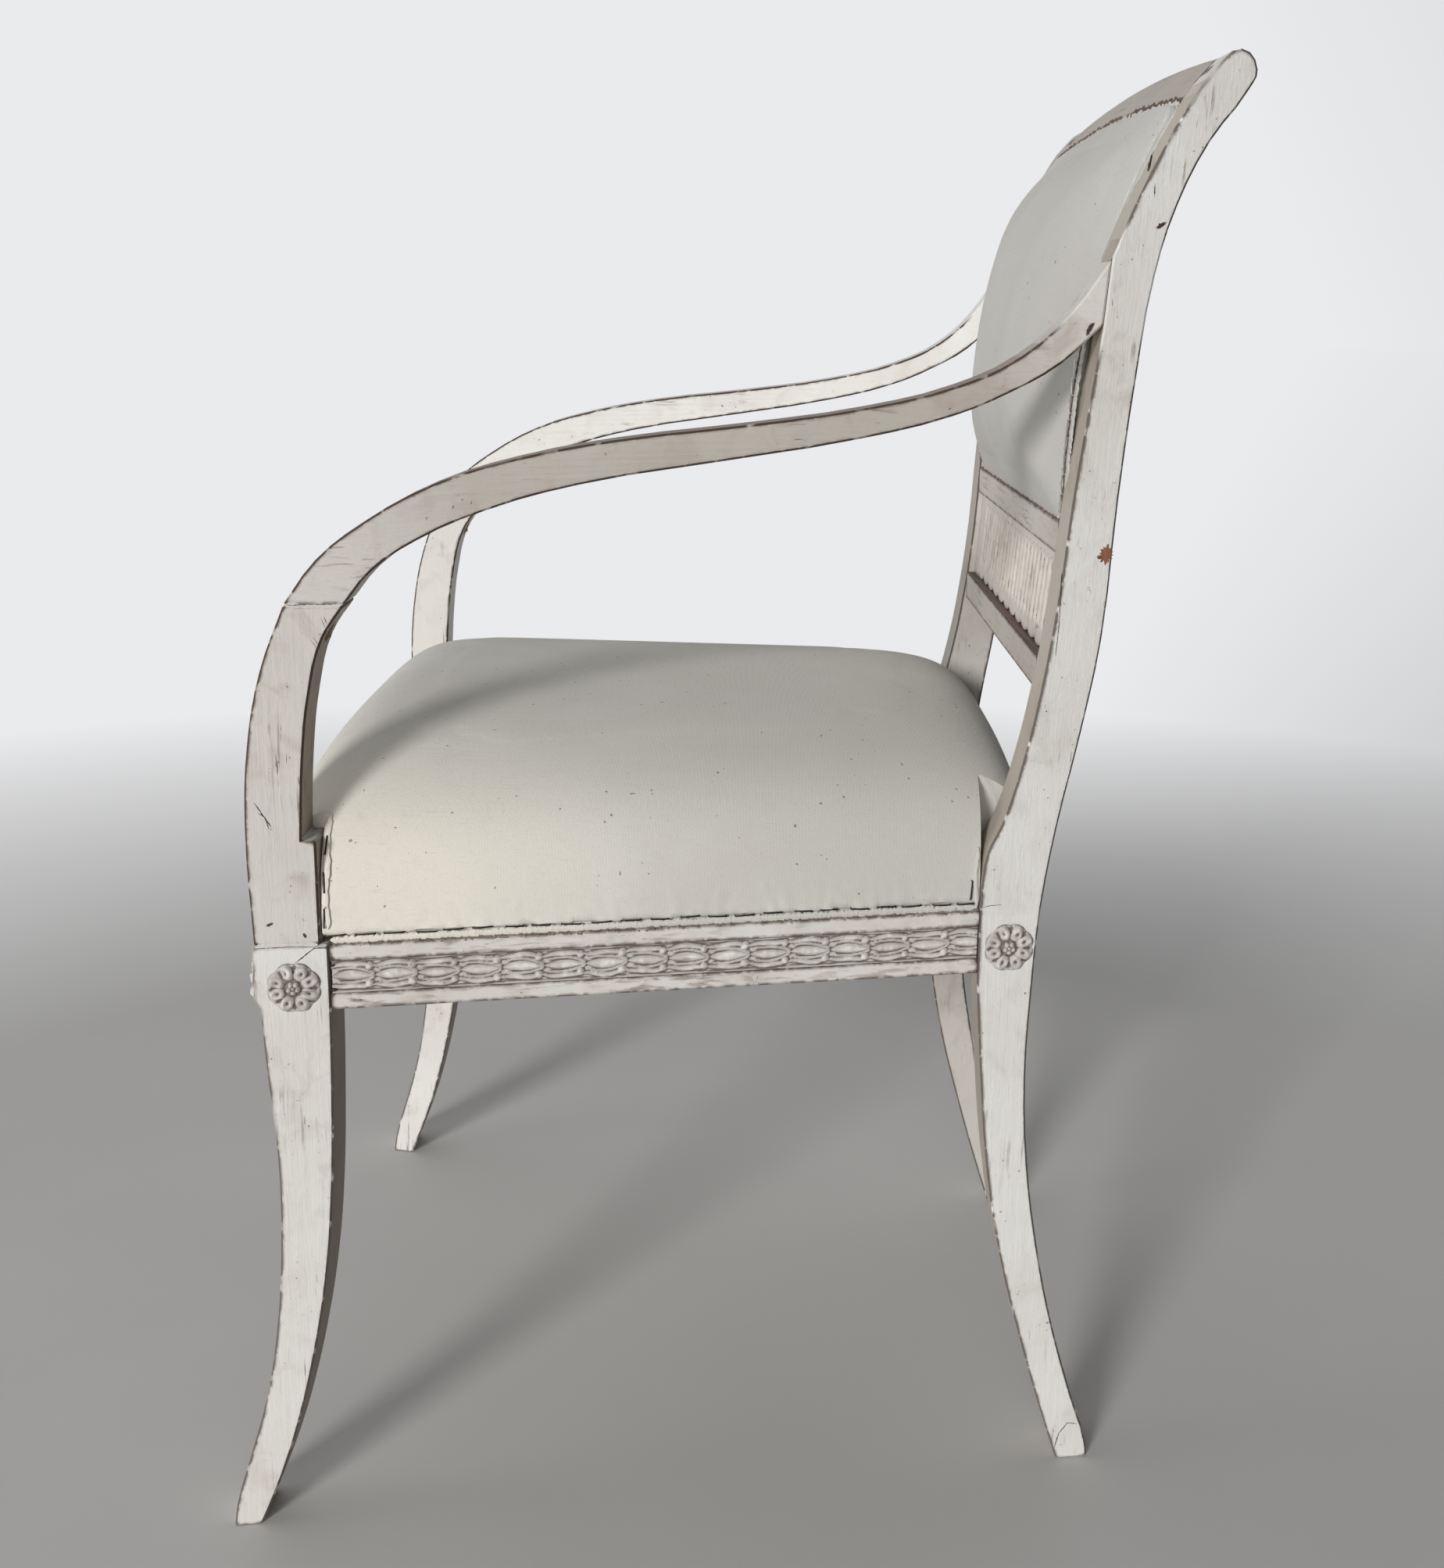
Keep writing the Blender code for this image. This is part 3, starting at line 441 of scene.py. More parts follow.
def metal(name, tone, roughness):
    """Brushed iron or steel with a little rust."""
    tree = Tree(name)
    brushed = tree.noise(tree.place((900, 900, 60)), 1.0, 3)
    rust = tree.noise(tree.place(), 260.0, 3)
    tree.colour(tree.over(tone, (0.10, 0.055, 0.035), 0.7, rust, 0.55, 0.72))
    tree.shader.inputs["Metallic"].default_value = 0.85
    tree.roughness(roughness - 0.1, roughness + 0.15, brushed)
    tree.bump(brushed, 0.0001, 0.4)
    return tree.material


# ---------------------------------------------------------------- mesh building

def face_outwards(mesh):
    """Turns the faces of a closed mesh outwards."""
    work = bmesh.new()
    work.from_mesh(mesh)
    bmesh.ops.recalc_face_normals(work, faces=work.faces)
    work.to_mesh(mesh)
    work.free()


def piece(name, vertices, faces, material, slot, smooth=True, hollow=None):
    """A new visible piece that rides on the chair. hollow is how sunk each point of a carving is."""
    mesh = bpy.data.meshes.new(name)
    mesh.from_pydata([tuple(v) for v in vertices], [], [tuple(int(i) for i in f) for f in faces])
    if hollow is not None:
        sunk = np.zeros(len(mesh.vertices), np.float32)
        sunk[:len(hollow)] = hollow
        mesh.attributes.new("hollow", "FLOAT", "POINT").data.foreach_set("value", sunk)
    face_outwards(mesh)
    if smooth:
        mesh.shade_smooth()
        mesh.set_sharp_from_angle(angle=math.radians(50))
    mesh.materials.append(material)
    obj = put(name, mesh)
    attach(obj, "root")
    return obj


def quads(index):
    """Faces of a grid of vertex numbers."""
    return [(index[i, j], index[i + 1, j], index[i + 1, j + 1], index[i, j + 1])
            for i in range(index.shape[0] - 1) for j in range(index.shape[1] - 1)]


def ring_faces(start, steps):
    """Faces between a ring of vertices that begins at start and the ring after it."""
    return [(start + k, start + steps + k, start + steps + (k + 1) % steps, start + (k + 1) % steps)
            for k in range(steps)]


def rim_of(index):
    """The vertex numbers round a grid, in order."""
    return [*index[0, :], *index[1:, -1], *index[-1, -2::-1], *index[-2:0:-1, 0]]


def thin_sheet(layers):
    """Vertices and faces of a closed thin sheet from the grids of points of its two sides."""
    index = np.arange(layers[0].size // 3).reshape(layers[0].shape[:2])
    below = index + index.size
    rim, rim_below = rim_of(index), rim_of(below)
    faces = quads(index) + quads(below)
    faces += [(rim[k - 1], rim_below[k - 1], rim_below[k], rim[k]) for k in range(len(rim))]
    return [tuple(v) for layer in layers for v in layer.reshape(-1, 3)], faces


def carved(grid, behind):
    """Vertices and faces of a closed carving: a grid of points in front, and a flat back.

    behind(point) is the point on the back under a point of the rim.
    """
    rows, cols = grid.shape[:2]
    index = np.arange(rows * cols).reshape(rows, cols)
    vertices = [tuple(v) for v in grid.reshape(-1, 3)]
    rim = rim_of(index)
    back = list(range(len(vertices), len(vertices) + len(rim)))
    vertices += [behind(vertices[i]) for i in rim]
    faces = quads(index)
    faces += [(rim[k - 1], back[k - 1], back[k], rim[k]) for k in range(len(rim))]
    faces.append(back)
    return vertices, faces


def pillow(top, bottom):
    """Vertices and faces of a closed pad from two grids that share their rim."""
    rows, cols = top.shape[:2]
    index = np.arange(rows * cols).reshape(rows, cols)
    vertices = [tuple(v) for v in top.reshape(-1, 3)]
    under = index.copy()
    inner = bottom[1:-1, 1:-1].reshape(-1, 3)
    under[1:-1, 1:-1] = np.arange(len(inner)).reshape(rows - 2, cols - 2) + len(vertices)
    vertices += [tuple(v) for v in inner]
    return vertices, quads(index) + quads(under)


def apply_modifiers(obj):
    """Puts the result of an object's modifiers into its mesh."""
    graph = bpy.context.evaluated_depsgraph_get()
    mesh = bpy.data.meshes.new_from_object(obj.evaluated_get(graph))
    obj.modifiers.clear()
    obj.data = mesh


def coords(mesh):
    co = np.empty(len(mesh.vertices) * 3, np.float64)
    mesh.vertices.foreach_get("co", co)
    return co.reshape(-1, 3)


def set_coords(mesh, co):
    mesh.vertices.foreach_set("co", co.astype(np.float32).ravel())
    mesh.update()


def ridge(distance, half, height):
    """A rounded ridge, 0 outside half."""
    share = np.clip(np.abs(distance) / np.maximum(half, 1e-6), 0, 1)
    return height * np.sqrt(1 - share ** 2) * (half > 1e-5)


def roughness_field(points, scale):
    return np.array([noise.noise(Vector(p) * scale) for p in points])


# ---------------------------------------------------------------- carving

HUSK_PITCH, BAND_HALF = 0.0245, 0.0099


def blurred(field, steps):
    """A field averaged over a square of steps cells each way."""
    kernel = np.ones(2 * steps + 1) / (2 * steps + 1)
    padded = np.pad(field, steps, mode="edge")
    padded = np.apply_along_axis(np.convolve, 0, padded, kernel, "valid")
    return np.apply_along_axis(np.convolve, 1, padded, kernel, "valid")


def sunken(height, steps, depth):
    """0 to 1: how far a relief lies under the surface round it."""
    return np.clip((blurred(blurred(height, steps), steps) - height) / depth, 0, 1)


def husk_height(along, across):
    """Relief of a running row of husks whose tips point to greater along."""
    wave = 0.00035 * np.sin(along * 190) + 0.00025 * np.sin(along * 71)
    across = across - wave
    unit = np.floor(along / HUSK_PITCH)
    share = along / HUSK_PITCH - unit
    vary = 1 + 0.10 * np.sin(unit * 2.3)
    side = np.abs(across)
    leaf = ridge(across, 0.0033 * vary * np.sin(np.pi * np.clip(share * 1.02, 0, 1)) ** 0.8, 0.0027)
    lip = 0.0043 * np.sin(np.pi * np.clip(share * 0.82 + 0.18, 0, 1)) ** 0.60 + 0.0002
    sheath = ridge(side - lip, 0.00075 + 0.0005 * share, 0.0025) * (share > 0.10)
    swing = np.sin(np.pi * share)
    stem = 0.0058 + 0.0012 * swing + 0.0003 * np.sin(unit * 3.7 + share * 9)
    ribbon = ridge(side - stem, 0.0009 + 0.0011 * swing, 0.0028)
    bead_at = 0.0054 + 0.0003 * np.sin(unit * 5.1 + np.sign(across))
    curl = np.hypot((share - 0.87) * HUSK_PITCH, side - bead_at)
    bead = ridge(curl, 0.0027 * vary, 0.0030)
    moat = np.clip((0.0031 - curl) / 0.0005, 0, 1) * (curl > 0.0024) * (share > 0.80) * 0.0012
    fillet = 0.0024 * np.clip((side - 0.0090) / 0.0004, 0, 1)
    relief = np.maximum.reduce([leaf, sheath, ribbon, 0.0007 + 0 * side])
    return np.maximum.reduce([relief - moat, bead, fillet])


def husk_band(name, start, end, place, material):
    """A band from start to end; place(along, across, height) gives its points."""
    columns = int((end - start) / 0.0006)
    reach = np.linspace(-BAND_HALF, BAND_HALF, 44)
    along, across = np.meshgrid(np.linspace(start, end, columns), reach, indexing="ij")
    height = husk_height(along - start, across)
    hollow = sunken(height, 2, 0.00085)
    points = np.stack([along, across, height * 0], -1).reshape(-1, 3)
    chips = roughness_field(points, 330).reshape(height.shape)
    height = blurred(height, 1) * 0.5 + height * 0.5 + 0.00030 * chips
    edge = np.zeros_like(height, bool)
    edge[0], edge[-1], edge[:, 0], edge[:, -1] = True, True, True, True
    height = np.where(edge, np.minimum(height, 0.0024), height)
    grid = np.array([[place(a, w, h) for a, w, h in zip(*row)] for row in zip(along, across, height)])
    flat = np.array([[place(a, w, -0.0004) for a, w in zip(*row)] for row in zip(along, across)])
    vertices, faces = carved(grid, lambda point: point)
    rim = rim_of(np.arange(height.size).reshape(height.shape))
    vertices[-len(rim):] = [tuple(flat.reshape(-1, 3)[i]) for i in rim]
    return piece(name, vertices, faces, material, "carved_paint", hollow=hollow.ravel())


def husk_bands(material):
    middle = (GROOVE_LOW + GROOVE_HIGH) / 2
    floor = GROOVE_DEEP - GAP - 0.0004
    for label, side in SIDES:
        def place(y, w, h, side=side):
            return (side * (side_x(y) - floor + h), y, middle + w + SEAT_RAKE * y)

        band = husk_band("husks_" + label, LEG_REAR + 0.001, STILE_FRONT - 0.001, place, material)
        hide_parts("husk_band_" + label)
    reach = side_x(LEG_FRONT) - LEG_THICK - 0.001
    face = LEG_FRONT + 0.0015

    def place_front(x, w, h):
        return (x, face + floor - h, middle + w + SEAT_RAKE * face)

    band = husk_band("husks_front", -reach, reach, place_front, material)
    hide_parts("husk_band_front")


def rosette_height(x, y, seed):
    """Relief of a worn rosette, in shares of its radius and of its height."""
    r, angle = np.hypot(x, y), np.arctan2(y, x)
    height = 0.22 + 0 * r
    rng = random.Random(seed)
    for number in range(8):
        turn = 2 * math.pi * (number + 0.5) / 8 + rng.uniform(-0.09, 0.09)
        away = 0.66 + rng.uniform(-0.03, 0.03)
        long, wide = 0.35 + rng.uniform(-0.03, 0.03), 0.27 + rng.uniform(-0.03, 0.03)
        u = (x - away * math.cos(turn)) * math.cos(turn) + (y - away * math.sin(turn)) * math.sin(turn)
        v = -(x - away * math.cos(turn)) * math.sin(turn) + (y - away * math.sin(turn)) * math.cos(turn)
        bowl = np.sqrt(np.clip(1 - (u / long) ** 2 - (v / wide) ** 2, 0, 1))
        dent = 0.50 * np.exp(-((u + 0.02) / 0.13) ** 2 - ((v - rng.uniform(-0.06, 0.06)) / 0.09) ** 2)
        height = np.maximum(height, rng.uniform(0.80, 1.0) * bowl - dent * (bowl > 0))
        notch = np.exp(-((angle - turn - math.pi / 8 + math.pi) % (2 * math.pi) - math.pi) ** 2 / 0.004)
        height = height - 0.25 * notch * (r > 0.62)
    height = np.where(r < 0.30, 0.30, height)
    for number in range(5):
        turn = 2 * math.pi * number / 5 + seed
        blob = np.hypot(x - 0.165 * math.cos(turn), y - 0.165 * math.sin(turn))
        height = np.maximum(height, ridge(blob, 0.125 + 0 * r, 0.95))
    height = np.maximum(height, ridge(r, 0.09 + 0 * r, 1.05))
    return np.clip(height, 0.05, 1.1) * np.sqrt(np.clip((1.0 - r) / 0.05, 0, 1)) + 0.04


def rosette(name, node, radius, place, material, seed):
    """Eight worn spoon petals round a beaded boss; place(u, v, height) gives the points."""
    rings, steps = 34, 144
    turns = 2 * math.pi * np.arange(steps) / steps
    r, turn = np.meshgrid(np.arange(1, rings + 1) / rings, turns, indexing="ij")
    scallop = 0.93 + 0.07 * np.abs(np.cos((turn - math.pi / 8) * 4))
    height = rosette_height(r * np.cos(turn), r * np.sin(turn), seed)
    hollow = sunken(np.concatenate([height, height, height], 1), 3, 0.17)[:, steps:2 * steps]
    vertices = [place(0, 0, 0.0034)]
    for ring in range(rings):
        for step in range(steps):
            away = radius * scallop[ring, step] * r[ring, step]
            u, v = away * math.cos(turn[ring, step]), away * math.sin(turn[ring, step])
            lump = 0.26 * noise.noise(Vector((u * 240, v * 240, seed * 3.1)))
            vertices.append(place(u, v, max(0.0002, ROSETTE_RELIEF * (height[ring, step] + lump))))
    faces = [(0, 1 + step, 1 + (step + 1) % steps) for step in range(steps)]
    for ring in range(rings):
        faces += ring_faces(1 + ring * steps, steps)
    faces.append(range(len(vertices), len(vertices) + steps))
    for step in range(steps):
        angle = 2 * math.pi * step / steps
        vertices.append(place(radius * 0.9 * math.cos(angle), radius * 0.9 * math.sin(angle), 0.0))
    sunk = np.concatenate([[0.0], hollow.ravel()])
    made = piece(name, vertices, faces, material, "carved_paint", hollow=sunk)
    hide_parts(node)


def rosettes(material):
    for label, side in SIDES:
        for where, facing in (("side", "x"), ("rear", "x"), ("front", "y")):
            node = f"rosette_{where}_{label}"
            low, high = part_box(node)
            middle = (low + high) / 2

            if facing == "x":
                def place(u, v, h, side=side, middle=middle):
                    y = middle.y + u
                    return (side * (side_x(y) + GAP + h), y, middle.z + v)
            else:
                def place(u, v, h, middle=middle):
                    return (middle.x + u, LEG_FRONT - GAP - h, middle.z + v)

            rosette(f"rosette_{where}_{label}_carved", node, ROSETTE_RADIUS, place, material,
                    len(where) + 7 * side)


def fluted_panel(material):
    """A board with eleven scallops along its lower edge, and two stopped flutes over each."""
    low, high = LOWER_RAIL[1] + GAP, UPPER_RAIL[0] - GAP
    flutes, columns, rows = 11, 440, 76
    margin, lobe_deep, board, foot_clear, top_clear = 0.026, 0.0042, 0.009, 0.0085, 0.006
    middle = (PANEL_TOP + PANEL_FOOT) / 2
    inside = stile_x(middle, 0.575) - STILE_THICK
    pitch = 2 * (inside - margin) / flutes
    half = pitch * 0.21
    grid = np.zeros((columns, rows, 3))
    rim = np.zeros((columns, rows, 3))
    hollow = np.zeros((columns, rows))
    for i in range(columns):
        for j in range(rows):
            s = 2 * i / (columns - 1) - 1
            x = s * (inside - GAP * 2)
            cell = x / pitch + flutes / 2
            scallop = (cell - math.floor(cell) - 0.5) * pitch if 0 <= cell < flutes else pitch / 2
            offset = (2 * cell - math.floor(2 * cell) - 0.5) * pitch / 2
            lobe = lobe_deep * (1 - math.sqrt(max(0.0, 1 - (2 * scallop / pitch) ** 2)))
            foot = low + (lobe if 0 <= cell < flutes else 0.0)
            z = foot + (high - foot) * j / (rows - 1)
            flute_low, flute_high = low + foot_clear + half, high - top_clear - half
            reach = math.hypot(offset, max(0.0, flute_low - z, z - flute_high))
            deep = FLUTE_DEEP * math.sqrt(max(0.0, 1 - (reach / half) ** 2))
            if not 0 <= cell < flutes:
                deep = 0.0
            end = min(abs(z - flute_low), abs(z - flute_high)) / half
            round_end = math.hypot(end, offset / half) < 0.75
            hollow[i, j] = deep / FLUTE_DEEP * (0.74 + 0.6 * round_end)
            y = PANEL_FOOT + (PANEL_TOP - PANEL_FOOT) * (z - low) / (high - low)
            wide = (stile_x(y, z) - STILE_THICK - GAP * 2) / (inside - GAP * 2)
            rough = 0.00025 * noise.noise(Vector((x * 260, z * 90, 3.1)))
            grid[i, j] = (x * wide, y + deep + rough, z)
            rim[i, j] = (x * wide, y + board, z)
    flat = {tuple(front): tuple(back) for front, back in zip(grid.reshape(-1, 3), rim.reshape(-1, 3))}
    vertices, faces = carved(grid, lambda point: flat[tuple(point)])
    made = piece("fluted_board", vertices, faces, material, "carved_paint", hollow=hollow.ravel())
    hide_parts("fluted_panel")


# ---------------------------------------------------------------- torn edges, cracks and chips

def ribbon(name, path, wide, thick, material, slot, seed, ragged):
    """A thin closed ribbon along a path of (point, across, out), with a ragged outline."""
    rng = random.Random(seed)
    vertices, faces, rings = [], [], []
    for number, (point, across, out) in enumerate(path):
        end = min(number, len(path) - 1 - number)
        taper = min(1.0, (end + 0.6) / 3)
        w1, w2 = (wide / 2 * taper * (1 + ragged * rng.uniform(-1, 1)) for _ in range(2))
        h = thick * (1 + 0.6 * ragged * rng.uniform(-1, 1))
        shift = wide * 0.25 * ragged * rng.uniform(-1, 1)
        section = [(-w1 + shift, -0.0002), (-w1 * 0.75 + shift, h * 0.75), (shift, h),
                   (w2 * 0.75 + shift, h * 0.7), (w2 + shift, -0.0002)]
        ring = []
        for a, b in section:
            ring.append(len(vertices))
            vertices.append(point + across * a + out * b)
        rings.append(ring)
    for one, two in zip(rings, rings[1:]):
        faces += [(one[k], two[k], two[(k + 1) % 5], one[(k + 1) % 5]) for k in range(5)]
    faces += [rings[0][::-1], rings[-1]]
    return piece(name, vertices, faces, material, slot, smooth=False)


def between_points(points, step):
    """Points about a step apart along a polyline."""
    made = [Vector(points[0])]
    for one, two in zip(points, points[1:]):
        one, two = Vector(one), Vector(two)
        count = max(1, round((two - one).length / step))
        made += [one.lerp(two, (k + 1) / count) for k in range(count)]
    return made


def spaced(start, end, step):
    """Numbers about a step apart from start to end."""
    return [spot.x for spot in between_points([(start, 0, 0), (end, 0, 0)], step)]


def side_path(outline, surface, side=1):
    """A ribbon's path over a side face, through (y, z) points."""
    flat = between_points([(y, z, 0) for y, z in outline], 0.0012)
    path = []
    out = outward(side)
    for number, spot in enumerate(flat):
        before, after = flat[max(0, number - 1)], flat[min(len(flat) - 1, number + 1)]
        run = Vector((0, after.x - before.x, after.y - before.y)).normalized()
        point = Vector((side * surface(spot.x, spot.y), spot.x, spot.y))
        path.append((point, run.cross(out).normalized(), out))
    return path


# Cracks and scratches seen on the near side: surface, width, and the (y, z) points they run through.
CRACKS = (
    ("block_crack", side_x, 0.0006,
     ((-0.2361, 0.3726), (-0.2252, 0.3813), (-0.2173, 0.3809), (-0.2163, 0.3765))),
    ("block_joint", side_x, 0.0007, ((-0.2172, 0.3765), (-0.2176, 0.3600), (-0.2178, 0.3440))),
    ("block_line", side_x, 0.0005, ((-0.2580, 0.3822), (-0.2400, 0.3826), (-0.2240, 0.3820))),
    ("post_scratch_1", side_x, 0.0006, ((-0.2545, 0.4700), (-0.2510, 0.4640), (-0.2457, 0.4552))),
    ("post_scratch_2", side_x, 0.0005, ((-0.2530, 0.4640), (-0.2490, 0.4610), (-0.2470, 0.4540))),
    ("post_hash_1", side_x, 0.0004, ((-0.2115, 0.5760), (-0.2100, 0.5715))),
    ("post_hash_2", side_x, 0.0004, ((-0.2130, 0.5750), (-0.2112, 0.5700))),
    ("post_hash_3", side_x, 0.0004, ((-0.2180, 0.5645), (-0.2150, 0.5600))),
    ("post_hash_4", side_x, 0.0004, ((-0.2192, 0.5630), (-0.2163, 0.5585))),
    ("rail_crack", stile_x, 0.0004, ((0.1715, 0.3912), (0.1760, 0.3922), (0.1830, 0.3926))),
    ("foot_crack", stile_x, 0.0006, ((0.2376, 0.0086), (0.2400, 0.0190), (0.2456, 0.0268), (0.2520, 0.0255))),
    ("stile_nick_1", stile_x, 0.0006, ((0.2402, 0.8118), (0.2406, 0.8050))),
    ("stile_nick_2", stile_x, 0.0005, ((0.2217, 0.7520), (0.2222, 0.7480))),
    ("scarf_line", side_x, 0.0005, ((-0.2330, 0.58265), (-0.2170, 0.58285), (-0.2005, 0.58265))),
    ("stile_check", stile_x, 0.0004, ((0.2050, 0.6000), (0.2058, 0.5700), (0.2050, 0.5500))),
)
# Flakes where the paint has come off down to the wood: surface, middle, half length, half width, turn.
CHIPS = (
    ("chip_stile_edge", stile_x, (0.2305, 0.6100), 0.0052, 0.0038, 1.50),
    ("chip_stile_edge_2", stile_x, (0.2270, 0.6085), 0.0024, 0.0012, 0.10),
    ("chip_stile_top", stile_x, (0.2455, 0.7905), 0.0030, 0.0011, 0.5),
    ("chip_arm_root", stile_x, (0.2105, 0.7360), 0.0034, 0.0011, 1.1),
    ("chip_stile_hole", stile_x, (0.2366, 0.8225), 0.0045, 0.0007, 1.4),
    ("chip_post_low_1", side_x, (-0.2494, 0.3966), 0.0020, 0.0009, 0.3),
    ("chip_post_low_2", side_x, (-0.2301, 0.3892), 0.0016, 0.0008, 2.0),
    ("chip_band_end_1", side_x, (-0.2152, 0.3700), 0.0014, 0.0011, 0.0),
    ("chip_band_end_2", side_x, (-0.2152, 0.3550), 0.0014, 0.0011, 0.0),
)


def chip(name, surface, middle, long, wide, turn, material, seed):
    """A thin ragged flake mark on a side face."""
    rng = random.Random(seed)
    steps = 56
    out = outward(1)
    rim = []
    for step in range(steps):
        angle = 2 * math.pi * step / steps
        swell = 1 + rng.uniform(-0.42, 0.25)
        a, b = long * math.cos(angle) * swell, wide * math.sin(angle) * swell
        rim.append((middle[0] + a * math.cos(turn) - b * math.sin(turn),
                    middle[1] + a * math.sin(turn) + b * math.cos(turn)))
    vertices = [Vector((surface(*middle), *middle)) + out * 0.00022]
    for lift, share in ((0.00020, 0.7), (0.00012, 1.0), (-0.0003, 1.0)):
        for y, z in rim:
            y, z = (m + (c - m) * share for m, c in zip(middle, (y, z)))
            vertices.append(Vector((surface(y, z), y, z)) + out * lift)
    faces = [(0, 1 + k, 1 + (k + 1) % steps) for k in range(steps)]
    for ring in (1, 1 + steps):
        faces += ring_faces(ring, steps)
    faces.append(tuple(1 + 2 * steps + k for k in range(steps)))
    piece(name, vertices, faces, material, "painted_wood", smooth=False)


# Joints under paint: name, surface, the (y, z) points they run through, and the paint's width.
JOINTS = (
    ("arm_scarf", side_x, ((-0.2325, 0.58265), (-0.2010, 0.58265)), 0.0044),
    ("post_foot", side_x, ((-0.2585, 0.38315), (-0.2230, 0.38315)), 0.0044),
)


def joint_skins():
    """Paint that bridges the joints of the posts, and fills the arris where an arm meets its stile."""
    # front darkens the coat's forward faces: painted shade.
    coat = painted("paint_joints", (0.640, 0.615, 0.580), 2, 0.90, 0.0, 0.3, front=(0.66, 0.60, 0.53))
    for label, side in SIDES:
        for name, surface, outline, wide in JOINTS:
            path = side_path(outline, surface, side)
            ribbon(f"{name}_paint_{label}", path, wide, 0.00016, coat, "painted_wood", 3 + side, 0.15)
    for label, side in SIDES:
        wedge = []
        for x in (0.0008, ARM_INSIDE):
            for y, z in ((0.2185, 0.7702), (0.2206, 0.7745), (0.2256, 0.7880)):
                wedge.append((side * (stile_x(y, z) - x), y, z))
        faces = [(0, 1, 2), (3, 5, 4), (0, 3, 4, 1), (1, 4, 5, 2), (2, 5, 3, 0)]
        piece("arm_root_fill_" + label, wedge, faces, coat, "painted_wood", smooth=False)


def marks():
    """The cracks and chips of the near side."""
    dirt = bare_wood("old_dirt", (0.022, 0.014, 0.011), (0.060, 0.040, 0.030))
    rust = bare_wood("bared_wood", (0.16, 0.062, 0.030), (0.30, 0.135, 0.070))
    for seed, (name, surface, wide, outline) in enumerate(CRACKS):
        ribbon(name, side_path(outline, surface), wide, 0.00024, dirt, "painted_wood", seed, 0.6)
    for seed, (name, surface, middle, long, wide, turn) in enumerate(CHIPS):
        chip(name, surface, middle, long, wide, turn, rust if "edge" in name else dirt, seed)


# ---------------------------------------------------------------- upholstery

PAD_VOXEL, PAD_PRESSURE, PAD_SWELL = 0.005, 4.0, 0.022


def inflate(obj, loose):
    """Swells a closed pad like stuffed cloth. loose(points) is 0 where it is held and 1 where it is free."""
    step = obj.modifiers.new("even_mesh", "REMESH")
    step.mode, step.voxel_size = "VOXEL", PAD_VOXEL
    apply_modifiers(obj)
    rest = coords(obj.data)
    held = obj.vertex_groups.new(name="held")
    for number, free in enumerate(loose(rest)):
        held.add([number], 1 - float(free), "REPLACE")
    cloth = obj.modifiers.new("swell", "CLOTH")
    settings = cloth.settings
    settings.quality, settings.mass = 5, 0.25
    settings.tension_stiffness = settings.compression_stiffness = 18
    settings.bending_stiffness = 0.8
    settings.use_pressure = True
    settings.uniform_pressure_force = PAD_PRESSURE
    settings.vertex_group_mass = "held"
    settings.effector_weights.gravity = 0
    cloth.point_cache.frame_start, cloth.point_cache.frame_end = 1, 20
    for number in range(1, 21):
        bpy.context.scene.frame_set(number)
    apply_modifiers(obj)
    moved = coords(obj.data) - rest
    length = np.linalg.norm(moved, axis=1, keepdims=True)
    moved *= np.minimum(1.0, PAD_SWELL / np.maximum(length, 1e-9))
    set_coords(obj.data, rest + moved)
    bpy.context.scene.frame_set(1)
    smooth = obj.modifiers.new("finer", "SUBSURF")
    smooth.levels = smooth.render_levels = 1
    apply_modifiers(obj)


def hold_to(obj, target, sunk, proud, loose):
    """Keeps a swollen pad within a little of its own fitted surface, and evens out its free part."""
    tree = BVHTree.FromPolygons([tuple(v) for v in target[0]], [tuple(int(i) for i in f) for f in target[1]])
    co = coords(obj.data)
    for number, point in enumerate(co):
        near, normal, _, distance = tree.find_nearest(Vector(point))
        away = Vector(point) - near
        if away.length > 1e-7:
            inside = away.dot(normal) < 0
            limit = sunk if inside else proud
            if distance > limit:
                co[number] = near + away * (limit / distance)
    set_coords(obj.data, co)
    group = obj.vertex_groups.new(name="free")
    for number, free in enumerate(loose(co)):
        group.add([number], float(free), "REPLACE")
    ease = obj.modifiers.new("ease", "SMOOTH")
    ease.factor, ease.iterations, ease.vertex_group = 0.5, 16, "free"
    apply_modifiers(obj)


# Faces of a box whose eight corners come in the order of corners_of.
BOX_FACES = ((0, 1, 3, 2), (4, 6, 7, 5), (0, 4, 5, 1), (2, 3, 7, 6), (0, 2, 6, 4), (1, 5, 7, 3))


def cut_away(obj, boxes):
    """Takes boxes, each eight corners, out of a mesh."""
    for number, corners in enumerate(boxes):
        mesh = bpy.data.meshes.new("cut")
        mesh.from_pydata(corners, [], BOX_FACES)
        face_outwards(mesh)
        tool = put("cut", mesh)
        step = obj.modifiers.new(f"cut_{number}", "BOOLEAN")
        step.operation, step.solver, step.object = "DIFFERENCE", "EXACT", tool
        apply_modifiers(obj)
        bpy.data.objects.remove(tool, do_unlink=True)


def seat_point(a, b, inset=0.0):
    """A point of the seat's upper surface; a and b run from -1 to 1."""
    s, t = math.sin(a * math.pi / 2), math.sin(b * math.pi / 2)
    fall = max(0.0, (1 - abs(s) ** 3) * (1 - abs(t) ** (FRONT_POWER if t < 0 else REAR_POWER)))
    y = (SEAT_FRONT + SEAT_REAR) / 2 + t * ((SEAT_REAR - SEAT_FRONT) / 2 - inset)
    x = s * (side_x(y) - PAD_INSET - inset)
    rim = SEAT_HEM + SEAT_RAKE * y
    return (x, y, rim + (SEAT_CROWN - inset - rim) * fall ** SEAT_ROUND)


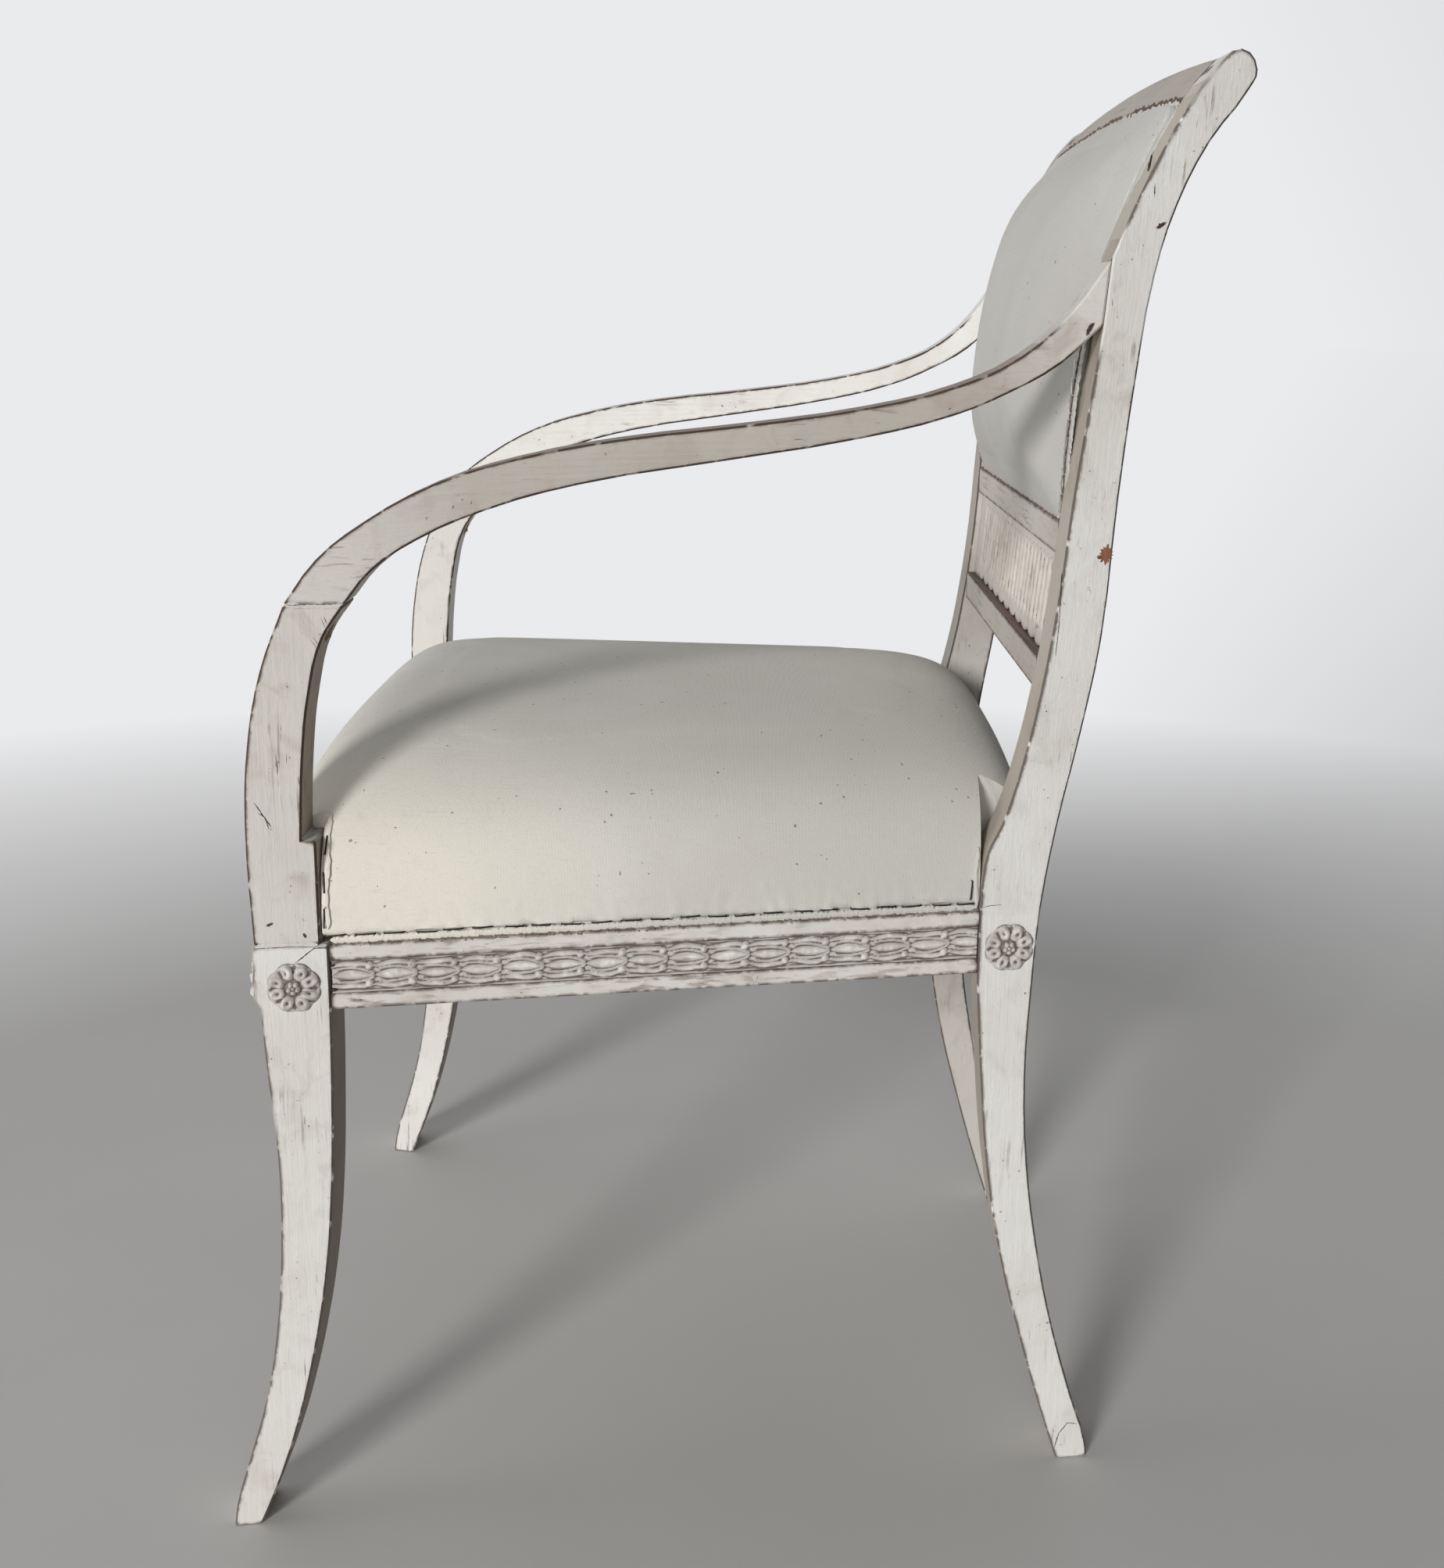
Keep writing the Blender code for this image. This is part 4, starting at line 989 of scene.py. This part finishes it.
def seat_solid(cells, inset):
    """Vertices and faces of the seat pad, inset from its full size."""
    top = np.array([[seat_point(2 * i / cells - 1, 2 * j / cells - 1, inset) for j in range(cells + 1)]
                    for i in range(cells + 1)])
    bottom = top.copy()
    bottom[:, :, 2] = SEAT_HEM + SEAT_RAKE * top[:, :, 1]
    return pillow(top, bottom)


def corners_of(x, y, z, side, surface):
    """Eight corners of a box; x is measured inwards from a side's outer face."""
    return [(side * (surface(b, c) + a), b, c) for a in x for b in y for c in z]


STAPLE_PITCH, STAPLE_RISE = 0.0171, 0.0032


def staple_rows():
    """Where the staples of the seat's hem go: (point, direction along the row, direction out)."""
    rng = random.Random(11)
    rows = {"right": [], "left": [], "front": []}
    for label, side in SIDES:
        y = -0.2135
        while y < 0.163:
            at = y + rng.uniform(-0.0012, 0.0012)
            z = SEAT_HEM + STAPLE_RISE + SEAT_RAKE * at + rng.uniform(-0.0005, 0.0006)
            tilt = rng.uniform(-0.055, 0.055)
            along = Vector((-SIDE_TAPER * side, 1, SEAT_RAKE + tilt)).normalized()
            rows[label].append((Vector((side * (side_x(at) - PAD_INSET), at, z)), along, outward(side)))
            y += STAPLE_PITCH
    x = -0.236
    while x < 0.24:
        at = x + rng.uniform(-0.0012, 0.0012)
        z = SEAT_HEM + STAPLE_RISE + SEAT_RAKE * SEAT_FRONT + rng.uniform(-0.0005, 0.0006)
        along = Vector((1, 0, rng.uniform(-0.05, 0.05))).normalized()
        rows["front"].append((Vector((at, SEAT_FRONT, z)), along, AHEAD))
        x += STAPLE_PITCH
    return rows


def staples(name, places, material, crown=0.0114, wire=0.00044):
    """Small bent wires, each a crown with two legs that go into the cloth."""
    vertices, faces = [], []
    rng = random.Random(5)
    for middle, along, out in places:
        up = out.cross(along).normalized()
        reach = crown / 2 * rng.uniform(0.94, 1.05)
        half = [(reach, -0.0016), (reach, -0.0002), (reach - 0.0004, 0.00025), (reach * 0.5, 0.00042)]
        path = [(-a, h) for a, h in half] + [(0, 0.00048)] + half[::-1]
        rings = []
        for number, (a, h) in enumerate(path):
            before, after = path[max(0, number - 1)], path[min(len(path) - 1, number + 1)]
            run = Vector((after[0] - before[0], after[1] - before[1])).normalized()
            ring = []
            for corner in range(8):
                angle = 2 * math.pi * (corner + 0.5) / 8
                lift, wide = wire * 0.62 * math.sin(angle), wire * 1.15 * math.cos(angle)
                point = middle + along * (a - run.y * lift) + out * (h + run.x * lift) + up * wide
                ring.append(len(vertices))
                vertices.append(point)
            rings.append(ring)
        for one, two in zip(rings, rings[1:]):
            faces += [(one[k - 1], one[k], two[k], two[k - 1]) for k in range(8)]
        faces += [rings[0][::-1], rings[-1]]
    return piece(name, vertices, faces, material, "screw_steel")


def make_seat(cloth, steel):
    """The seat's cover over its stuffing: swollen, cut round the wood, and pulled in at each staple."""
    target = seat_solid(72, 0.0)
    start = seat_solid(72, 0.0035)
    pad = piece("seat_pad", *start, cloth, "calico")
    rows = staple_rows()
    pins = np.array([tuple(p) for row in rows.values() for p, _, _ in row])

    def loose(points):
        above = points[:, 2] - (SEAT_HEM + SEAT_RAKE * points[:, 1])
        return np.clip((above - 0.004) / 0.010, 0, 1)

    inflate(pad, loose)
    hold_to(pad, target, 0.0002, 0.0003, loose)
    boxes = []
    for _, side in SIDES:
        spans = ((POST_THICK, -0.30, POST_REAR + 0.0006), (STILE_THICK, STILE_FRONT - 0.0006, 0.25))
        for thick, *span in spans:
            boxes.append(corners_of((-thick - 0.0008, 0.05), span, (0.3, 0.6), side, side_x))
    level = LEDGE_HIGH + 2 * (0.0015 + GAP) + 0.001 + GAP * 2
    under = []
    for s in (-1, 1):
        for y in (SEAT_FRONT + PAD_INSET, SEAT_REAR - 0.002):
            for z in (0.3, level + SEAT_RAKE * y):
                under.append((s * (side_x(y) - 0.0056), y, z))
    cut_away(pad, boxes + [under])
    co = coords(pad.data)
    above = co[:, 2] - (SEAT_HEM + SEAT_RAKE * co[:, 1])
    reach = side_x(co[:, 1]) - PAD_INSET
    share = np.clip((0.012 - above) / 0.008, 0, 1)
    outer = np.abs(co[:, 0]) > reach - 0.0022 - 0.006 * (above > 0.012)
    co[:, 0] += np.where(np.abs(co[:, 0]) > reach - 0.0022, np.sign(co[:, 0]) * reach - co[:, 0], 0) * share
    front = co[:, 1] < SEAT_FRONT + 0.0022 + 0.006 * (above > 0.012)
    co[:, 1] += np.where(co[:, 1] < SEAT_FRONT + 0.0022, SEAT_FRONT - co[:, 1], 0) * share
    for number in np.nonzero((outer | front) & (above < 0.022))[0]:
        gap = np.linalg.norm(pins - co[number], axis=1)
        near = gap.min()
        pull = 0.0010 * math.exp(-(near / 0.0045) ** 2)
        swell = 0.0008 * math.exp(-((above[number] - 0.004) / 0.006) ** 2)
        swell *= 1 - math.exp(-(near / 0.007) ** 2)
        ripple = 0.0006 * noise.noise(Vector(co[number]) * 150)
        shift = swell - pull + ripple
        if outer[number]:
            co[number, 0] += math.copysign(shift, co[number, 0])
        if front[number]:
            co[number, 1] -= shift
    set_coords(pad.data, co)
    pad.data.shade_smooth()
    pad.data.set_sharp_from_angle(angle=math.radians(60))
    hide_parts("seat_cover", "seat_stuffing")
    for label, places in rows.items():
        staples("seat_staples_" + label, places, steel)


def pad_x(y, z):
    """Half the seat pad's width at a height."""
    t = (2 * y - SEAT_FRONT - SEAT_REAR) / (SEAT_REAR - SEAT_FRONT)
    rim = SEAT_HEM + SEAT_RAKE * y
    fall = max(0.0, (z - rim) / (SEAT_CROWN - rim)) ** (1 / SEAT_ROUND)
    fall /= 1 - abs(t) ** (FRONT_POWER if t < 0 else REAR_POWER)
    return (side_x(y) - PAD_INSET) * max(0.0, 1 - fall) ** (1 / 3)


def seat_edges(cloth, frayed, steel):
    """The torn lower edge of the cover, and its folds and staples beside the posts and the stiles."""
    # Hems: name, rise, inset, width, thickness, raggedness and cloth. Folds: y, low, high, width and place.
    # Pins are upright staples: y, z and lean.
    hems = (("seat_hem_", 0.0019, 0.0028, 0.0044, 0.0007, 0.22, cloth),
            ("seat_hem_glue_", -0.0008, 0.0010, 0.0017, 0.0009, 0.9, frayed))
    folds = ((-0.2180, 0.392, 0.455, 0.0042, "post"), (0.1668, 0.390, 0.428, 0.0030, "stile"))
    pins = ((-0.2186, 0.4400, 0.04), (-0.2190, 0.4195, -0.05), (-0.2192, 0.3985, 0.03),
            (0.1640, 0.4016, 0.05))
    for label, side in SIDES:
        out = outward(side)
        for layer, (name, rise, inset, wide, thick, ragged, material) in enumerate(hems):
            path = []
            for y in spaced(-0.2165, 0.1675, 0.0011):
                z = RAIL_HIGH + rise + SEAT_RAKE * y
                path.append((Vector((side * (side_x(y) - inset), y, z)), UP, out))
            ribbon(name + label, path, wide, thick, material, "calico", 31 + layer + side, ragged)
        for y, low, high, wide, where in folds:
            path = []
            for z in spaced(low, high, 0.0020):
                bow = 0.0006 * math.sin(z * 180)
                point = Vector((side * (pad_x(y, z) + 0.0004), y + bow, z))
                path.append((point, Vector((0, 1, 0)), out))
            ribbon(f"seat_fold_{where}_{label}", path, wide, 0.0010, cloth, "calico", 5 + side, 0.18)
        upright = []
        for y, z, lean in pins:
            slope = side * (pad_x(y, z + 0.001) - pad_x(y, z)) / 0.001
            point = Vector((side * (pad_x(y, z) + 0.0013), y, z))
            upright.append((point, Vector((slope, lean, 1)).normalized(), out))
        staples("seat_staples_upright_" + label, upright, steel)
    reach = side_x(LEG_FRONT) - 0.004
    y, z = SEAT_FRONT - 0.0004, RAIL_HIGH + SEAT_RAKE * SEAT_FRONT
    path = [(Vector((x, y, z)), UP, AHEAD) for x in spaced(-reach, reach, 0.0011)]
    ribbon("seat_hem_front", path, 0.0024, 0.0008, frayed, "calico", 77, 0.9)


def back_point(a, b, inset=0.0):
    """A point of the back pad's front; a runs across and b up, from -1 to 1."""
    low, high = UPPER_RAIL[1] + GAP * 2, CREST_LOW - GAP * 2
    reach = max(abs(a), abs(b))
    size = (abs(a) ** BACK_SQUARENESS + abs(b) ** BACK_SQUARENESS) ** (1 / BACK_SQUARENESS) if reach else 1.0
    s, t = (a * reach / size, b * reach / size) if reach else (0.0, 0.0)
    angle = reach * math.pi / 2
    spread = math.sin(angle) ** (2 / BACK_FLATNESS)
    scale = spread / reach if reach else 0.0
    z = (low + high) / 2 + t * scale * ((high - low) / 2 - inset)
    y = back_front_y(z) + 0.0002 - (BACK_BULGE - inset) * max(0.0, 1 - (spread / 0.985) ** 2.7)
    x = s * scale * (stile_x(y, z) - STILE_THICK - GAP * 2 - inset)
    return (x, y, z + crest_lift(x, z))


def back_solid(cells, inset):
    """Vertices and faces of the back pad, inset from its full size."""
    front = np.array([[back_point(2 * i / cells - 1, 2 * j / cells - 1, inset) for j in range(cells + 1)]
                      for i in range(cells + 1)])
    behind = front.copy()
    for point in behind.reshape(-1, 3):
        z = point[2] - crest_lift(point[0], point[2])
        point[1] = back_front_y(z) + 0.0066
    return pillow(front, behind)


def back_edge(point):
    """How far a point of the back pad is towards its rim, 0 to 1, and its height without the crest's lift."""
    low, high = UPPER_RAIL[1] + GAP * 2, CREST_LOW - GAP * 2
    x, y, z = point
    level = z - crest_lift(x, z)
    half_x = stile_x(y, level) - STILE_THICK - GAP * 2
    s, t = x / half_x, (level - (low + high) / 2) / ((high - low) / 2)
    return (abs(s) ** BACK_SQUARENESS + abs(t) ** BACK_SQUARENESS) ** (1 / BACK_SQUARENESS), level


def make_back(cloth):
    """The back's cover over its stuffing, swollen and drawn tight to the frame round its rim."""
    target = back_solid(60, 0.0)
    pad = piece("back_pad", *back_solid(60, 0.0025), cloth, "calico")

    def loose(points):
        free = [min(1.0, max(0.0, (back_front_y(z) + 0.002 - y) / 0.008)) for _, y, z in points]
        return np.array(free)

    inflate(pad, loose)
    hold_to(pad, target, 0.0002, 0.0002, loose)
    co = coords(pad.data)
    middle = (UPPER_RAIL[1] + CREST_LOW) / 2
    for number, point in enumerate(co):
        reach, level = back_edge(point)
        if reach < 0.86:
            continue
        share = min(1.0, (reach - 0.86) / 0.10)
        spread = min(1.0 / reach, 1 + 0.035 * share)
        x = point[0] * spread
        level = middle + (level - middle) * spread
        y = point[1]
        front = back_front_y(level)
        if y < front + 0.0040 and reach > 0.95:
            y += (min(y, front - 0.0002) - y) * min(1.0, (reach - 0.95) / 0.03)
        co[number] = (x, y, level + crest_lift(x, level))
    set_coords(pad.data, co)
    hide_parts("back_cover", "back_stuffing", "back_hessian", "back_strap_across_1",
                "back_strap_across_2", "back_strap_up_1", "back_strap_up_2")


def back_edges(cloth, torn, bright):
    """Torn cloth edges round the back pad, and the bright staples of its sides."""
    for name, z, sign in (("top", CREST_LOW - 0.0004, 1), ("foot", UPPER_RAIL[1] + 0.0004, -1)):
        layers = ((-0.0010 * sign, 0.0030, 0.0009, cloth), (0.0006 * sign, 0.0034, 0.0011, torn))
        reach = stile_x(back_front_y(z), z) - STILE_THICK - 0.0015
        for layer, (shift, wide, thick, material) in enumerate(layers):
            path = []
            for x in spaced(-reach, reach, 0.0013):
                level = z + shift + 0.0006 * noise.noise(Vector((x * 90, z * 50, layer)))
                point = Vector((x, back_front_y(level) - 0.0003, level + crest_lift(x, level)))
                path.append((point, UP, AHEAD))
            tear = f"back_tear_{name}_{layer + 1}"
            ribbon(tear, path, wide, thick, material, "calico", 50 + layer + sign, 0.9)
    for label, side in SIDES:
        path, places = [], []
        rng = random.Random(17 + side)
        for z in spaced(0.630, 0.852, 0.0015):
            y = back_front_y(z) - 0.0003
            x = side * (stile_x(y, z) - STILE_THICK + 0.0025)
            path.append((Vector((x, y, z)), Vector((side, 0, 0)), AHEAD))
        ribbon(f"back_tear_side_{label}", path, 0.0100, 0.0009, cloth, "calico", 60 + side, 0.35)
        inward = Vector((-side * 0.0035, -0.0010, 0))
        slit = [(point + inward, across, out) for point, across, out in path[:70]]
        ribbon(f"back_slit_{label}", slit, 0.0022, 0.0006, torn, "calico", 66 + side, 0.8)
        z = 0.636
        while z < 0.72:
            y = back_front_y(z) - 0.0027
            x = side * (stile_x(y, z) - STILE_THICK - 0.0006 + rng.uniform(-0.0012, 0.0008))
            lean = rng.uniform(-0.45, 0.25)
            places.append((Vector((x, y, z)), Vector((lean * side, 0, 1)).normalized(), AHEAD))
            z += rng.uniform(0.0085, 0.0150)
        staples("back_staples_" + label, places, bright, crown=0.0105, wire=0.00065)


def outside_back(cloth, steel):
    """The flat cloth behind the back, drawn tight between the rails and the stiles."""
    low, high = UPPER_RAIL[1] + GAP * 2, CREST_LOW - GAP * 2
    columns, rows = 96, 60
    layers = []
    outer, inner = -0.0036, -0.0044
    for offset in (outer, inner):
        grid = np.zeros((columns + 1, rows + 1, 3))
        for i in range(columns + 1):
            for j in range(rows + 1):
                s, z = 2 * i / columns - 1, low + (high - low) * j / rows
                y = back_rear_y(z) + offset
                x = s * (stile_x(y, z) - STILE_THICK - GAP * 2)
                slack = (1 - s ** 2) * math.sin(math.pi * j / rows)
                pulls = 0.0004 * math.sin(s * 46) * math.exp(-(min(j, rows - j) / 5) ** 2)
                grid[i, j] = (x, y - 0.0016 * slack - abs(pulls), z + crest_lift(x, z))
        layers.append(grid)
    sheet = piece("outside_back", *thin_sheet(layers), cloth, "calico")
    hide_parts("outside_back_cover")
    pins = []
    rng = random.Random(23)

    def edge_at(z):
        return stile_x(back_rear_y(z) + outer, z) - STILE_THICK

    def slope_at(z):
        return (back_rear_y(z + 0.001) - back_rear_y(z)) / 0.001

    def pin(x, z, lift, along):
        point = Vector((x, back_rear_y(z) + outer + lift, z + crest_lift(x, z)))
        pins.append((point, Vector(along).normalized(), Vector((0, 1, -slope_at(z))).normalized()))

    for s in np.linspace(-0.95, 0.95, 22):
        for z in (low + 0.004, high - 0.004):
            x = s * edge_at(z) + rng.uniform(-0.001, 0.001)
            pin(x, z, 0.0001, (1, 0, rng.uniform(-0.05, 0.05)))
    for s in (-1, 1):
        for z in np.arange(low + 0.016, high - 0.010, 0.0175):
            pin(s * (edge_at(z) - 0.0045), z, 0.0, (0, slope_at(z), 1))
    staples("outside_back_staples", pins, steel)


# Underside: three straps each way, woven over and under, and hessian laid on them.
STRAP_WIDE, STRAP_THICK, STRAP_INSET = 0.052, 0.0015, 0.0105
ACROSS_AT, ALONG_AT = (-0.150, -0.025, 0.100), (-0.110, 0.0, 0.110)
WEB_LEVEL = LEDGE_HIGH + GAP + 0.00165


def strap(name, start, end, place, crossings, first_up, material):
    """A webbing strap that rises over and dips under the straps it meets."""
    steps, columns = 150, 9
    layers = [np.zeros((steps + 1, columns, 3)) for _ in range(2)]
    for layer, grid in zip((0.5, -0.5), layers):
        for i in range(steps + 1):
            along = start + (end - start) * i / steps
            lift = 0.0
            for number, crossing in enumerate(crossings):
                sign = 1 if (number + first_up) % 2 else -1
                lift += sign * 0.00095 * math.exp(-((along - crossing) / 0.030) ** 4)
            for j in range(columns):
                share = 2 * j / (columns - 1) - 1
                edge = 0.0004 * noise.noise(Vector((along * 300, share, layer))) if abs(share) == 1 else 0.0
                sag = -0.00012 * (1 - share ** 2)
                across = share * (STRAP_WIDE / 2 + edge)
                grid[i, j] = place(along, across, lift + sag + layer * STRAP_THICK)
    return piece(name, *thin_sheet(layers), material, "webbing")


def underside(webbing, sacking):
    """The webbing and the hessian under the seat."""
    front, rear = LEG_FRONT + 0.0125, 0.194
    for number, y in enumerate(ACROSS_AT):
        reach = side_x(y) - STRAP_INSET

        def place(a, w, h, y=y):
            return (a, y + w, WEB_LEVEL + h + SEAT_RAKE * (y + w))

        made = strap(f"web_across_{number + 1}", -reach, reach, place, ALONG_AT, number, webbing)
        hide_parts(f"seat_strap_across_{number + 1}")
    for number, x in enumerate(ALONG_AT):
        def place_along(a, w, h, x=x):
            return (x + w, a, WEB_LEVEL + h + SEAT_RAKE * a)

        made = strap(f"web_along_{number + 1}", front, rear, place_along, ACROSS_AT, number + 1, webbing)
        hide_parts(f"seat_strap_along_{number + 1}")
    columns, rows = 72, 64
    layers = [np.zeros((columns + 1, rows + 1, 3)) for _ in range(2)]
    for lift, grid in zip((0.0, 0.0009), layers):
        for i in range(columns + 1):
            for j in range(rows + 1):
                s, y = 2 * i / columns - 1, front + (rear - front) * j / rows
                notch = 0.030 if y < -0.2145 or y > STILE_FRONT - 0.003 else 0.0
                x = s * (side_x(y) - STRAP_INSET - notch)
                near = min(min(abs(y - a) for a in ACROSS_AT), min(abs(x - a) for a in ALONG_AT))
                sag = 0.0009 * min(1.0, max(0.0, near - 0.026) / 0.015)
                grid[i, j] = (x, y, WEB_LEVEL + 0.0018 + lift - sag + SEAT_RAKE * y)
    sheet = piece("hessian_sheet", *thin_sheet(layers), sacking, "hessian")
    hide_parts("seat_hessian")


# ---------------------------------------------------------------- build

def dress_frame(webbing, sacking):
    """Better finishes for the CAD nodes that stay."""
    # rear and front darken the faces that look backwards and forwards: painted shade.
    legs = painted("paint_legs", (0.750, 0.737, 0.708), 2, 0.34, 0.9, 0.30, rear=(0.46, 0.41, 0.33))
    posts = painted("paint_posts", (0.640, 0.615, 0.580), 2, 0.90, 1.0, 0.45, rear=(0.66, 0.59, 0.52))
    # A paler copy of the posts' paint for the far side: painted light.
    lit_far_posts = painted("paint_far_posts_lit", (0.700, 0.685, 0.650), 2, 0.40, 1.0, 0.40)
    stiles = painted("paint_stiles", (0.755, 0.742, 0.715), 2, 0.34, 0.9, 0.25, front=(0.66, 0.60, 0.53))
    # A darker copy of the stiles' paint for the far side, darker again on its forward faces: painted shade.
    shaded_far_stile = painted("paint_far_stile_shaded", (0.520, 0.500, 0.465), 2, 0.60, 0.9, 0.45,
                        front=(0.80, 0.76, 0.72))
    # top darkens the arm's upward faces: painted shade.
    arms = painted("paint_arms", (0.475, 0.440, 0.398), 1, 0.80, 1.0, 0.40, top=(0.62, 0.55, 0.50),
                   fades=((ARM_ROOT, 0.022, 0.085, (0.640, 0.615, 0.580)),
                          (SCARF, 0.020, 0.110, (0.610, 0.585, 0.548))))
    # A much paler copy of the arm's paint for the far arm: painted light.
    lit_far_arm = painted("paint_far_arm_lit", (0.830, 0.820, 0.795), 1, 0.25, 1.0, 0.40)
    rails = painted("paint_side_rails", (0.700, 0.675, 0.645), 1, 0.55, 1.0, 1.15)
    cross = painted("paint_cross_rails", (0.560, 0.525, 0.480), 0, 0.60, 1.0, 0.9)
    # The crest's darker paint: brown dirt, and painted shade on its forward face.
    crest = painted("paint_crest", (0.430, 0.392, 0.345), 0, 0.60, 1.0, 0.7)
    ledge = painted("paint_lower_rail", (0.510, 0.475, 0.430), 0, 0.60, 1.0, 0.9, bare_top=True)
    beech = bare_wood("beech_aged", (0.26, 0.155, 0.080), (0.46, 0.31, 0.18))
    iron = metal("iron_dull", (0.20, 0.19, 0.18), 0.5)
    finishes = (("front_leg", legs), ("arm_post_left", lit_far_posts), ("arm_post", posts),
                ("rear_stile_left", shaded_far_stile), ("rear_stile", stiles),
                ("arm_left", lit_far_arm), ("arm_right", arms), ("side_rail", rails), ("front_rail", cross),
                ("back_rail", cross), ("crest_rail", crest), ("upper_back_rail", cross),
                ("lower_back_rail", ledge), ("corner_block", beech), ("seat_strap", webbing),
                ("seat_hessian", sacking))
    for name, obj in NODES.items():
        chosen = beech
        for start, finish in reversed(finishes):
            if name.startswith(start):
                chosen = finish
        if name.endswith("_screw"):
            chosen = iron
        for entry in obj.material_slots:
            entry.material = chosen


make_camera()
make_studio()
JUTE = coarse_weave("jute_webbing", (0.16, 0.105, 0.055), (0.45, 0.34, 0.20), 0.0022)
SACKING = coarse_weave("hessian_cloth", (0.15, 0.10, 0.055), (0.50, 0.39, 0.25), 0.0016)
dress_frame(JUTE, SACKING)
CARVED = painted("paint_carved", (0.820, 0.800, 0.765), 1, 0.40, 0.4, 0.4, carving=True)
# Painted light on the seat's sides by the front posts, and painted shade on the seat by the stiles.
CLOTH = calico("calico_cream", (0.735, 0.715, 0.665), painted_light_at=(0.27, -0.20, 0.405),
               painted_shade_at=(0.19, 0.13, 0.46))
BACK_CLOTH = calico("calico_back", (0.610, 0.600, 0.575))
FRAYED = coarse_weave("frayed_edge", (0.050, 0.032, 0.022), (0.33, 0.26, 0.20), 0.0009, 1.4)
TORN = coarse_weave("torn_backing", (0.026, 0.016, 0.012), (0.190, 0.130, 0.100), 0.0009, 1.4)
STEEL = metal("staple_steel", (0.035, 0.035, 0.038), 0.5)
BRIGHT = metal("staple_bright", (0.62, 0.62, 0.64), 0.28)
husk_bands(CARVED)
rosettes(CARVED)
fluted_panel(painted("paint_panel", (0.650, 0.610, 0.560), 2, 0.55, 0.4, 0.4, carving=True))
marks()
joint_skins()
make_seat(CLOTH, STEEL)
seat_edges(CLOTH, FRAYED, STEEL)
make_back(BACK_CLOTH)
back_edges(BACK_CLOTH, TORN, BRIGHT)
outside_back(BACK_CLOTH, STEEL)
underside(JUTE, SACKING)
